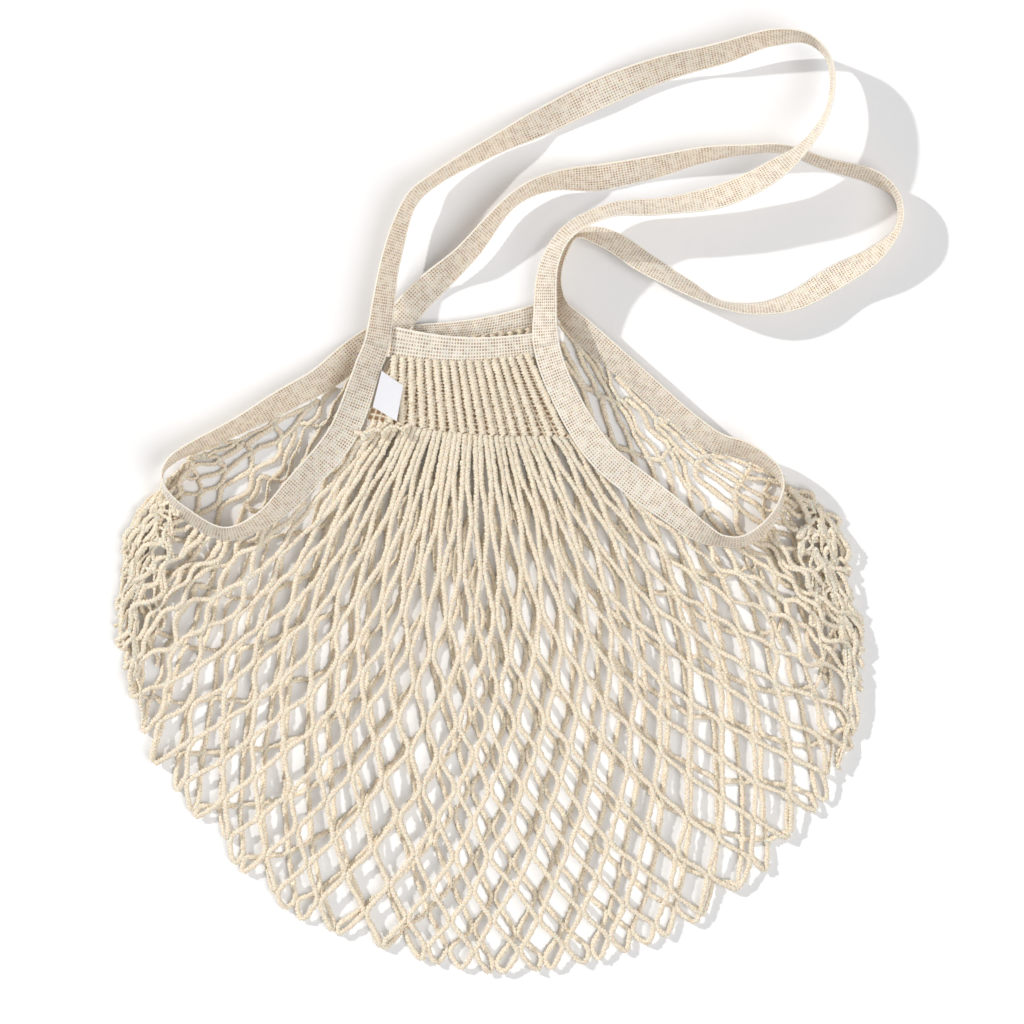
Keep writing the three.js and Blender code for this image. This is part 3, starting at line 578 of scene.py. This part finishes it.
BESIDE = STRING_WIDTH * 0.46
BEND_STEPS = 7


def angle_of(points, apex):
    return np.degrees(np.arctan2(points[:, 0] - apex[0], apex[1] - points[:, 1]))


def rim_of(side, left_places, right_places):
    """The edge that the net hangs from, as points with a level, from the left turn to the right one."""
    left, left_base = net_edge(left_places)
    right, right_base = net_edge(right_places)
    yoke_edge = side.point(np.linspace(0, 1, YOKE_EDGE_POINTS), 1)
    under = np.full(len(yoke_edge), side.level + 1.0)
    plan = np.concatenate([left[:, :2], yoke_edge, right[:, :2]])
    level = np.concatenate([left_base - 0.6, under, right_base - 0.6])
    return np.column_stack([plan, np.maximum(level, 1.3)])


front_rim = rim_of(front_side, np.linspace(LEFT_TURN, front_low_left, RIM_POINTS),
                   np.linspace(front_low_right, RIGHT_TURN, RIM_POINTS))
back_rim = rim_of(back_side, np.linspace(LEFT_TURN, BACK_LEFT + 0.4, RIM_POINTS),
                  np.linspace(BACK_RIGHT - 0.4, RIGHT_TURN, RIM_POINTS))
FIRST_ANGLE, LAST_ANGLE = angle_of(front_rim[[0, -1]], APEX)


def rim_at(rim, apex, angle):
    """The farthest place where a ray from the apex crosses the rim, and its reach."""
    angles = angle_of(rim, apex)
    angle = min(max(angle, angles[0] + 1e-6), angles[-1] - 1e-6)
    turned = angles - angle
    crossed = np.nonzero(turned[:-1] * turned[1:] <= 0)[0]
    best = None
    for i in crossed:
        span = turned[i] - turned[i + 1]
        share = turned[i] / span if span else 0.0
        point = rim[i] + (rim[i + 1] - rim[i]) * share
        reach = math.hypot(*(point[:2] - apex))
        if best is None or reach > best[1]:
            best = (point, reach)
    return best


def fold_reach(angle):
    return float(np.interp(angle, FOLD_ANGLES, FOLD_REACH)) - STRING_WIDTH / 2


def net_wave(angle, reach):
    """How far the front net stands above its even level, in slow folds that run down the net."""
    side = max(0.0, (abs(angle) - 34.0) / 20.0)
    slow = 1.2 * math.sin(angle * 0.22 + reach * 0.018) + 0.8 * math.sin(angle * 0.5 - reach * 0.03 + 2.0)
    puff = 4.5 * side * math.sin(angle * 1.9 + reach * 0.05) + 3.5 * side
    return slow + puff


spoke_cache = {}


def spoke(angle):
    """For one angle of the fan: front rim, fold and back rim."""
    name = round(angle, 4)
    if name not in spoke_cache:
        front_point, front_reach = rim_at(front_rim, APEX, angle)
        reach = fold_reach(angle)
        turned = math.radians(angle)
        fold = APEX + reach * np.array([math.sin(turned), -math.cos(turned)])
        back_angles = angle_of(back_rim[[0, -1]], BACK_APEX)
        edge_angle = LAST_ANGLE if angle > 0 else -FIRST_ANGLE
        back_edge = back_angles[1] if angle > 0 else back_angles[0]
        corner = angle_of(back_side.point(1 if angle > 0 else 0, 1), BACK_APEX)[0] / back_edge
        share = np.interp(abs(angle), [0, YOKE_HALF_ANGLE, FAN_CORE * FAN_STEP, edge_angle],
                          [0, corner, (1 + corner) / 2, 1])
        back_angle = float(share) * back_edge
        back_point, _ = rim_at(back_rim, BACK_APEX, back_angle)
        spoke_cache[name] = (front_point, front_reach, fold, reach, back_point,
                             float(np.linalg.norm(back_point[:2] - fold)))
    return spoke_cache[name]


def net_point(angle, reach):
    """A place on the net: reach counts from the apex down the front, and on past the fold up the back."""
    front_point, front_reach, fold, fold_at, back_point, back_length = spoke(angle)
    turned = math.radians(angle)
    if reach <= fold_at:
        plan = APEX + reach * np.array([math.sin(turned), -math.cos(turned)])
        from_fold = fold_at - reach
        body = FRONT_LOFT + net_wave(angle, reach)
        held = math.exp(-max(0.0, reach - front_reach) / RIM_RUN)
        body = body + (front_point[2] - body) * held
        level = body + (FOLD_LEVEL - body) * math.exp(-from_fold / FOLD_RUN)
    else:
        beyond = reach - fold_at
        share = min(1.0, beyond / max(back_length, 1e-6))
        plan = fold + (back_point[:2] - fold) * share
        body = BACK_NET_LEVEL + (back_point[2] - BACK_NET_LEVEL) * share ** 6
        level = body + (FOLD_LEVEL - body) * math.exp(-beyond / FOLD_RUN)
    return np.array([plan[0], plan[1], max(level, 1.0)])


core_lines = [i * FAN_STEP for i in range(-FAN_CORE, FAN_CORE + 1)]
side_lines = [FAN_CORE * FAN_STEP + i * FAN_SIDE_STEP for i in range(1, FAN_SIDE + 1)]
fan_lines = [-a for a in reversed(side_lines)] + core_lines + side_lines
rows = list(ROW_REACH)
while rows[-1] < LAST_ROW_REACH:
    rows.append(rows[-1] + LAST_ROW_STEP)

scatter = np.random.default_rng(7)
node_shift = scatter.normal(0, 1, (len(fan_lines), len(rows), 3))


def knit_point(line, row):
    """The middle of the place where two strings touch, with the way down the net and across it."""
    angle = fan_lines[line]
    reach = rows[row]
    here = net_point(angle, reach)
    down = net_point(angle, reach + 2.0) - net_point(angle, reach - 2.0)
    across = net_point(angle + 0.5, reach) - net_point(angle - 0.5, reach)
    side = max(0.0, (abs(angle) - 36.0) / 20.0)
    loose = 0.7 + 1.6 * side
    shift = node_shift[line, row] * np.array([loose, loose, 0.35 + 1.2 * side])
    return here + shift, down / max(np.linalg.norm(down), 1e-6), across / max(np.linalg.norm(across), 1e-6)


def string_path(k):
    """The bends of one string, from the front rim to the back rim, and the first one past the fold."""
    path = []
    fold_at = None
    for row in range(len(rows)):
        line = k if (k + row) % 2 == 0 else k + 1
        angle = fan_lines[line]
        _, front_reach, _, fold, _, back_length = spoke(angle)
        reach = rows[row]
        if reach < front_reach + 4.0:
            continue
        middle_angle = (fan_lines[k] + fan_lines[k + 1]) / 2
        if not path:
            start_reach = spoke(middle_angle)[1]
            path.append(net_point(middle_angle, min(start_reach, spoke(middle_angle)[3]) - 1.0))
        if reach > fold + back_length - 4.0:
            end = spoke(middle_angle)
            path.append(net_point(middle_angle, end[3] + end[5] + 1.0))
            break
        if fold_at is None and reach > fold:
            fold_at = len(path)
            share = (fold - rows[row - 1]) / (reach - rows[row - 1])
            if 0.15 < share < 0.85 and len(path) > 1:
                crossing = fan_lines[2 * k + 1 - line] * (1 - share) + angle * share
                path.append(net_point(crossing, spoke(crossing)[3]))
        here, down, across = knit_point(line, row)
        next_to = net_point(angle + FAN_STEP / 2, reach)
        pitch = np.linalg.norm(next_to - net_point(angle - FAN_STEP / 2, reach))
        touch = min(9.5, max(3.4, 11.0 - 0.6 * pitch))
        sideways = BESIDE if line == k else -BESIDE
        path.append(here - down * touch / 2 + across * sideways)
        path.append(here + down * touch / 2 + across * sideways)
    return np.array(path), fold_at


def smooth_path(points, steps):
    """A smooth line through the bends."""
    padded = np.concatenate([[2 * points[0] - points[1]], points, [2 * points[-1] - points[-2]]])
    t = np.linspace(0, 1, steps, endpoint=False)[:, None]
    pieces = []
    for i in range(1, len(padded) - 2):
        p0, p1, p2, p3 = padded[i - 1:i + 3]
        d0, d1, d2 = (max(np.linalg.norm(b - a), 1e-3) ** 0.5 for a, b in ((p0, p1), (p1, p2), (p2, p3)))
        slope_in, slope_out = even_slopes(p0, p1, p2, p3, d0, d1, d2)
        pieces.append(hermite(p1, p2, slope_in, slope_out, t)[0])
    line = np.concatenate(pieces + [points[-1:]])
    line[:, 2] = np.maximum(line[:, 2], STRING_DEPTH / 2 + 0.5)
    return line


def crumpled(line, angle):
    """The line of a string with the loose curls that the net has at its two sides."""
    weight = float(np.interp(abs(angle), [26, 38, 46, 60], [0.0, 0.35, 1.0, 1.25]))
    phases = scatter.uniform(0, 2 * math.pi, 4)
    step = np.linalg.norm(np.diff(line, axis=0), axis=1)
    run = np.concatenate([[0], np.cumsum(step)])
    fade = np.minimum(1, np.minimum(run, run[-1] - run) / 9.0) * weight
    way = np.gradient(line[:, :2], axis=0)
    way = way / np.maximum(np.linalg.norm(way, axis=1), 1e-6)[:, None]
    sway = (1.5 * np.sin(run / 3.4 + phases[0]) + 1.3 * np.sin(run / 5.9 + phases[1])
            + 1.6 * np.sin(run / 12 + phases[2]))
    curled = line.copy()
    curled[:, 0] -= way[:, 1] * sway * fade
    curled[:, 1] += way[:, 0] * sway * fade
    curled[:, 2] += 1.3 * np.sin(run / 4.6 + phases[3]) * fade
    return curled


def small_net(place, strings, bends, touch, angle):
    """Strings of a small net: place gives the point at a share across them and a share along them."""
    shifts = scatter.normal(0, 1, (strings + 1, bends + 1, 3)) * np.array([0.9, 0.9, 0.5])
    paths = []
    for i in range(strings):
        path = []
        for j in range(bends + 1):
            line = i if (i + j) % 2 == 0 else i + 1
            u, v = line / strings, j / bends
            down = place(u, min(1.0, v + 0.01)) - place(u, max(0.0, v - 0.01))
            beside = place(min(1.0, u + 0.02), v) - place(max(0.0, u - 0.02), v)
            beside *= BESIDE * (1 if line == i else -1) / max(np.linalg.norm(beside), 1e-6)
            down *= touch / 2 / max(np.linalg.norm(down), 1e-6)
            here = place(u, v) + shifts[line, j]
            path.append(here - down + beside)
            path.append(here + down + beside)
        paths.append(crumpled(smooth_path(np.array(path), BEND_STEPS), angle))
    return paths


def line_mesh(name, paths):
    """Lines as a mesh of edges, from millimetres of the plan."""
    verts = []
    edges = []
    for path in paths:
        start = len(verts)
        verts.extend(((path + BAG_SHIFT) * MM).tolist())
        edges.extend((start + i, start + i + 1) for i in range(len(path) - 1))
    mesh = bpy.data.meshes.new(name)
    mesh.from_pydata(verts, edges, [])
    return mesh


# Knitted cord: a flat double chain of loops, a groove along its middle
cord, given = new_maker("knitted_cord", {
    "Lines": "Geometry", "Stitch Length": "Float", "Width": "Float", "Depth": "Float",
    "Loop Relief": "Float", "Fuzz": "Float", "Sides": "Int", "Finish": "Material"}, "Cords")
curves = add_node(cord, "GeometryNodeMeshToCurve", None, {"Mesh": given.outputs["Lines"]})
half_stitch = add_node(cord, "ShaderNodeMath", {"operation": "MULTIPLY"}, {
    0: given.outputs["Stitch Length"], 1: 0.5})
even = add_node(cord, "GeometryNodeResampleCurve", {"mode": "LENGTH"}, {
    "Curve": curves.outputs["Curve"], "Length": half_stitch.outputs[0]})
number = add_node(cord, "GeometryNodeInputIndex")
beat = add_node(cord, "ShaderNodeMath", {"operation": "FLOORED_MODULO"}, {
    0: number.outputs["Index"], 1: 2.0})
swing = add_node(cord, "ShaderNodeMath", {"operation": "MULTIPLY_ADD"}, {
    0: beat.outputs[0], 1: 2.0, 2: -1.0})
stitched = add_node(cord, "GeometryNodeStoreNamedAttribute", {"data_type": "FLOAT", "domain": "POINT"}, {
    "Geometry": even.outputs["Curve"], "Name": "stitch", "Value": swing.outputs[0]})
round_profile = add_node(cord, "GeometryNodeCurvePrimitiveCircle", {"mode": "RADIUS"}, {
    "Resolution": given.outputs["Sides"], "Radius": 0.5})
where = add_node(cord, "GeometryNodeInputPosition")
parts = add_node(cord, "ShaderNodeSeparateXYZ", None, {"Vector": where.outputs["Position"]})
side_share = add_node(cord, "ShaderNodeMath", {"operation": "MULTIPLY"}, {0: parts.outputs["X"], 1: 2.0})
lobes = add_node(cord, "GeometryNodeStoreNamedAttribute", {"data_type": "FLOAT", "domain": "POINT"}, {
    "Geometry": round_profile.outputs["Curve"], "Name": "lobe", "Value": side_share.outputs[0]})
squared = add_node(cord, "ShaderNodeMath", {"operation": "MULTIPLY"}, {
    0: parts.outputs["X"], 1: parts.outputs["X"]})
groove = add_node(cord, "ShaderNodeMath", {"operation": "MULTIPLY_ADD"}, {
    0: squared.outputs[0], 1: 2.2, 2: 0.72})
grooved_y = add_node(cord, "ShaderNodeMath", {"operation": "MULTIPLY"}, {
    0: parts.outputs["Y"], 1: groove.outputs[0]})
wide = add_node(cord, "ShaderNodeMath", {"operation": "MULTIPLY"}, {
    0: parts.outputs["X"], 1: given.outputs["Width"]})
deep = add_node(cord, "ShaderNodeMath", {"operation": "MULTIPLY"}, {
    0: grooved_y.outputs[0], 1: given.outputs["Depth"]})
outline = add_node(cord, "ShaderNodeCombineXYZ", None, {"X": wide.outputs[0], "Y": deep.outputs[0]})
profile = add_node(cord, "GeometryNodeSetPosition", None, {
    "Geometry": lobes.outputs["Geometry"], "Position": outline.outputs["Vector"]})
swept = add_node(cord, "GeometryNodeCurveToMesh", None, {
    "Curve": stitched.outputs["Geometry"], "Profile Curve": profile.outputs["Geometry"], "Fill Caps": True})
stitch_of = add_node(cord, "GeometryNodeInputNamedAttribute", {"data_type": "FLOAT"}, {"Name": "stitch"})
lobe_of = add_node(cord, "GeometryNodeInputNamedAttribute", {"data_type": "FLOAT"}, {"Name": "lobe"})
plait = add_node(cord, "ShaderNodeMath", {"operation": "MULTIPLY"}, {
    0: stitch_of.outputs["Attribute"], 1: lobe_of.outputs["Attribute"]})
swell = add_node(cord, "ShaderNodeMath", {"operation": "MULTIPLY"}, {
    0: plait.outputs[0], 1: given.outputs["Loop Relief"]})
facing = add_node(cord, "GeometryNodeInputNormal")
push = add_node(cord, "ShaderNodeVectorMath", {"operation": "SCALE"}, {
    0: facing.outputs["Normal"], "Scale": swell.outputs[0]})
plaited = add_node(cord, "GeometryNodeSetPosition", None, {
    "Geometry": swept.outputs["Mesh"], "Offset": push.outputs["Vector"]})
tangle = add_node(cord, "ShaderNodeTexNoise", None, {"Scale": 420.0, "Detail": 2.0})
centred = add_node(cord, "ShaderNodeVectorMath", {"operation": "SUBTRACT"}, {
    0: tangle.outputs["Color"], 1: (0.5, 0.5, 0.5)})
stray = add_node(cord, "ShaderNodeVectorMath", {"operation": "SCALE"}, {
    0: centred.outputs["Vector"], "Scale": given.outputs["Fuzz"]})
fuzzy = add_node(cord, "GeometryNodeSetPosition", None, {
    "Geometry": plaited.outputs["Geometry"], "Offset": stray.outputs["Vector"]})
now_at = add_node(cord, "GeometryNodeInputPosition")
pressed = add_node(cord, "ShaderNodeVectorMath", {"operation": "MAXIMUM"}, {
    0: now_at.outputs["Position"], 1: (-10.0, -10.0, 0.1 * MM)})
resting = add_node(cord, "GeometryNodeSetPosition", None, {
    "Geometry": fuzzy.outputs["Geometry"], "Position": pressed.outputs["Vector"]})
smooth = add_node(cord, "GeometryNodeSetShadeSmooth", None, {
    "Geometry": resting.outputs["Geometry"], "Shade Smooth": True})
real = add_node(cord, "GeometryNodeRealizeInstances", None, {"Geometry": smooth.outputs["Geometry"]})
finished = add_node(cord, "GeometryNodeSetMaterial", None, {
    "Geometry": real.outputs["Geometry"], "Material": given.outputs["Finish"]})
add_node(cord, "NodeGroupOutput", None, {"Cords": finished.outputs["Geometry"]})

# Unbleached cotton string, knitted: warmer than the tape, with the same 1 mm flecks. Between its
# loops it is painted amber brown as painted shade, and the yokes' sunk stitches a darker painted shade.
string_cotton, tree, shader = new_material(
    "knitted_cotton_string", Roughness=0.95, IOR=1.5, Sheen_Weight=0.2, Sheen_Roughness=0.5,
    Subsurface_Weight=0.35, Subsurface_Radius=(1.0, 0.7, 0.45), Subsurface_Scale=0.0012)
place = add_node(tree, "ShaderNodeTexCoord")
fibre = add_node(tree, "ShaderNodeTexNoise", None, {
    "Vector": place.outputs["Object"], "Scale": 1100.0, "Detail": 3.0})
cloudy = add_node(tree, "ShaderNodeTexNoise", None, {
    "Vector": place.outputs["Object"], "Scale": 60.0, "Detail": 2.0})
stitch_of = add_node(tree, "ShaderNodeAttribute", {"attribute_name": "stitch"})
lobe_of = add_node(tree, "ShaderNodeAttribute", {"attribute_name": "lobe"})
plait = add_node(tree, "ShaderNodeMath", {"operation": "MULTIPLY"}, {
    0: stitch_of.outputs["Fac"], 1: lobe_of.outputs["Fac"]})
# Painted shade: where the cord's surface dips between its loops, its colour goes to the amber brown
painted_loop_shading = add_node(tree, "ShaderNodeMapRange", None, {
    "Value": plait.outputs[0], "From Min": -1.0, "From Max": 1.0, "To Min": 0.5, "To Max": 1.0})
mixed = add_node(tree, "ShaderNodeMath", {"operation": "MULTIPLY"}, {
    0: painted_loop_shading.outputs["Result"], 1: fibre.outputs["Fac"]})
spread = add_node(tree, "ShaderNodeMath", {"operation": "MULTIPLY_ADD", "use_clamp": True}, {
    0: mixed.outputs[0], 1: 3.4, 2: -0.52})
soften = add_node(tree, "ShaderNodeMath", {"operation": "MULTIPLY"}, {0: cloudy.outputs["Fac"], 1: 0.6})
yarn = add_node(tree, "ShaderNodeMix", {"data_type": "RGBA"}, {
    "Factor": spread.outputs[0], 6: linear("#c0976a"), 7: linear("#faf3e2")})
tint = add_node(tree, "ShaderNodeMix", {"data_type": "RGBA"}, {
    "Factor": soften.outputs[0], 6: yarn.outputs[2], 7: linear("#efe2c9")})
# Painted shade: the pits of the yokes' sunk stitches are painted dark brown
pit_of = add_node(tree, "ShaderNodeAttribute", {"attribute_name": "pit"})
knitted = add_node(tree, "ShaderNodeMix", {"data_type": "RGBA"}, {
    "Factor": pit_of.outputs["Fac"], 6: tint.outputs[2], 7: linear("#8c7053")})
fuzz = add_node(tree, "ShaderNodeBump", None, {
    "Height": fibre.outputs["Fac"], "Strength": 0.4, "Distance": 0.0004})
tree.links.new(knitted.outputs[2], shader.inputs["Base Color"])
tree.links.new(fuzz.outputs["Normal"], shader.inputs["Normal"])

STRING_SIZES = {
    "Stitch Length": STITCH * MM, "Width": STRING_WIDTH * MM, "Depth": STRING_DEPTH * MM,
    "Loop Relief": 0.28 * MM, "Fuzz": 2.3 * MM, "Sides": 6, "Finish": string_cotton}
string_paths = {"front_net_left": [], "front_net_right": [], "back_net_left": [], "back_net_right": []}
string_starts = {}
for k in range(len(fan_lines) - 1):
    bends, past_fold = string_path(k)
    if len(bends) < 4:
        continue
    string_starts[k] = bends[0]
    half = "left" if k < FAN_SIDE + FAN_CORE else "right"
    fine = crumpled(smooth_path(bends, BEND_STEPS), fan_lines[k])
    if past_fold is None:
        string_paths[f"front_net_{half}"].append(fine)
        continue
    at_side = k < FAN_SIDE or k >= FAN_SIDE + 2 * FAN_CORE
    cut = min(len(fine) - 2, past_fold * BEND_STEPS)
    string_paths[f"front_net_{half}"].append(fine[:cut + 1])
    if not at_side:
        string_paths[f"back_net_{half}"].append(fine[cut:])

# At each side the net is bunched on its fold, where strings run down along the edge, and it is
# stretched wide open behind the opening
EDGE_STRINGS = 5
EDGE_BENDS = 13
EDGE_SPREAD = 42.0
EDGE_ANGLES = (58.0, 36.0)
OPEN_STRINGS = 6
OPEN_BEND = 9.0
for half, turned_to in (("left", -1), ("right", 1)):
    def along_edge(u, v):
        share = v * (0.72 + 0.28 * math.cos(5 * u))
        angle = turned_to * (EDGE_ANGLES[0] + (EDGE_ANGLES[1] - EDGE_ANGLES[0]) * share)
        reach = fold_reach(angle) - 1.0 - EDGE_SPREAD * u * (0.55 + 0.45 * math.sin(math.pi * v))
        plan = APEX + reach * np.array([math.sin(math.radians(angle)), -math.cos(math.radians(angle))])
        return np.array([plan[0], plan[1], FOLD_LEVEL + (2.0 + 6.5 * u) * (1 - v ** 5)])

    def behind_opening(u, v):
        angle = turned_to * (side_lines[-1] + (core_lines[-1] - side_lines[-1]) * u)
        _, _, _, fold, _, back_length = spoke(angle)
        return net_point(angle, fold + 0.5 + (back_length - 1.0) * v)

    open_length = spoke(turned_to * side_lines[FAN_SIDE // 2])[5]
    string_paths[f"front_net_{half}"] += small_net(along_edge, EDGE_STRINGS, EDGE_BENDS, 5.0, 41.0)
    string_paths[f"back_net_{half}"] += small_net(
        behind_opening, OPEN_STRINGS, max(4, round(open_length / OPEN_BEND)), 4.0, 34.0)

# What hangs loose: curls below the left end of the yoke, and a cut end in the left opening
curl = np.linspace(0, 1, 40)[:, None]
yoke_curls = np.hstack([-91 + 36 * curl + 3.0 * np.sin(curl * 19), 40 + 5 * curl + 2.6 * np.cos(curl * 19),
                        15.0 + 1.2 * np.sin(curl * 11)])
cut_end_bends = [(-145.0, -9.0, 3.0), (-148.0, -5.5, 5.0), (-152.5, -4.0, 7.0), (-157.0, 0.6, 8.0)]
cut_end = smooth_path(np.array(cut_end_bends), 4)
string_paths["front_net_left"].append(yoke_curls)
string_paths["back_net_left"].append(cut_end)
for name, paths in string_paths.items():
    net = make_piece(f"knitted_{name}", line_mesh(name, paths), cord, STRING_SIZES)
    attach(net, "root")
    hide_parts("net_body")

# Yokes
# A knitted cloth of upright ribs joins each band to the net. Its ribs run on as the net's strings,
# and the sunk stitches between them are painted dark brown in their pits, as painted shade.
RIBS = 17
RIB_WIDTH = 4.0
RIB_DEPTH = 2.8
RIB_STITCH = 1.9
RIB_RELIEF = 0.5
RIB_TUCK = 0.04
RIB_POINTS = 16
# Pit Share sets how much of the ground carries the dark painted shade of its pits
GROUND_SIZES = {
    "Pit Share": 0.5, "Pit Depth": 0.2 * MM, "Thickness": 0.6 * MM, "Thread Relief": 0.2 * MM,
    "Finish": string_cotton}
MIDDLE_STRING = FAN_SIDE + FAN_CORE - 1
for node, side in (("front_yoke", front_side), ("back_yoke", back_side)):
    ribs = []
    for rib in range(RIBS):
        share = (rib + 0.5) / RIBS
        top = side.point(share, 0.0)[0]
        low = side.point(share, 1.0)[0]
        pair = MIDDLE_STRING + 2 * (rib - RIBS // 2)
        if side is front_side and pair in string_starts and pair + 1 in string_starts:
            low = (string_starts[pair] + string_starts[pair + 1])[:2] / 2
        t = np.linspace(-RIB_TUCK, 1.0, RIB_POINTS)[:, None]
        plan = top + (low - top) * t
        level = side.level + YOKE_THICKNESS / 2 + 0.25 * np.sin(t * 9 + rib)
        ribs.append(np.concatenate([plan, level], axis=1))
    sizes = dict(STRING_SIZES, Width=RIB_WIDTH * MM, Depth=RIB_DEPTH * MM)
    sizes["Stitch Length"] = RIB_STITCH * MM
    sizes["Loop Relief"] = RIB_RELIEF * MM
    rows_down = np.linspace(0, 1, round(YOKE_LENGTH / RIB_STITCH) + 1)
    between = np.array([side.point(np.linspace(0, 1, 2 * RIBS + 1), down) for down in rows_down])
    sunk = np.full(between.shape[:2] + (1,), side.level + 0.3)
    ground = cloth_grid(f"{node}_ground", np.concatenate([between, sunk], axis=2), [1] * (2 * RIBS))
    knitted = (make_piece(f"knitted_{node}", line_mesh(node, ribs), cord, sizes),
               make_piece(f"sunk_stitches_{node}", ground, weave, GROUND_SIZES))
    for yoke in knitted:
        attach(yoke, "root")
        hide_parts(node)

# Label
# A small plain label, cut from white woven ribbon. It is sewn under the left tape and lies on the
# yoke, with one corner curled up a little.
LABEL_CORNERS = np.array([(-74.4, 79.5), (-61.5, 70.5), (-65.4, 49.2), (-79.8, 57.9)])
LABEL_THICKNESS = 0.35
LABEL_CELLS = 12
LABEL_CLEAR = 0.7
LABEL_CURL = 1.2
# Woven ribbon: smooth and a little cooler than the cotton. Its weft is drawn at 0.4 mm so that it shows.
label_material, tree, shader = new_material("white_woven_ribbon", Roughness=0.7, IOR=1.5, Sheen_Weight=0.2)
place = add_node(tree, "ShaderNodeTexCoord")
weft = add_node(tree, "ShaderNodeTexNoise", None, {
    "Vector": place.outputs["Object"], "Scale": 2500.0, "Detail": 2.0})
tint = add_node(tree, "ShaderNodeMix", {"data_type": "RGBA"}, {
    "Factor": weft.outputs["Fac"], 6: linear("#dcdce2"), 7: linear("#f6f5f7")})
tree.links.new(tint.outputs[2], shader.inputs["Base Color"])
u = np.linspace(0, 1, LABEL_CELLS + 1)
grid = []
for a in u:
    top = LABEL_CORNERS[0] + (LABEL_CORNERS[3] - LABEL_CORNERS[0]) * a
    end = LABEL_CORNERS[1] + (LABEL_CORNERS[2] - LABEL_CORNERS[1]) * a
    for b in u:
        plan = top + (end - top) * b
        rise = FRONT_LEVEL + YOKE_THICKNESS + LABEL_CLEAR + LABEL_CURL * a * b ** 2
        grid.append((plan[0] + BAG_SHIFT[0], plan[1] + BAG_SHIFT[1], rise))
faces = []
for i in range(LABEL_CELLS):
    for j in range(LABEL_CELLS):
        first = i * (LABEL_CELLS + 1) + j
        below = first + LABEL_CELLS + 1
        faces.append((first, below, below + 1, first + 1))
label_mesh = bpy.data.meshes.new("label")
label_mesh.from_pydata((np.array(grid) * MM).tolist(), [], faces)
label_mesh.materials.append(label_material)
label = add_object("woven_label", label_mesh)
wall = label.modifiers.new("wall", "SOLIDIFY")
wall.thickness = LABEL_THICKNESS * MM
wall.offset = 0.0
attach(label, "root")
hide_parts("label")
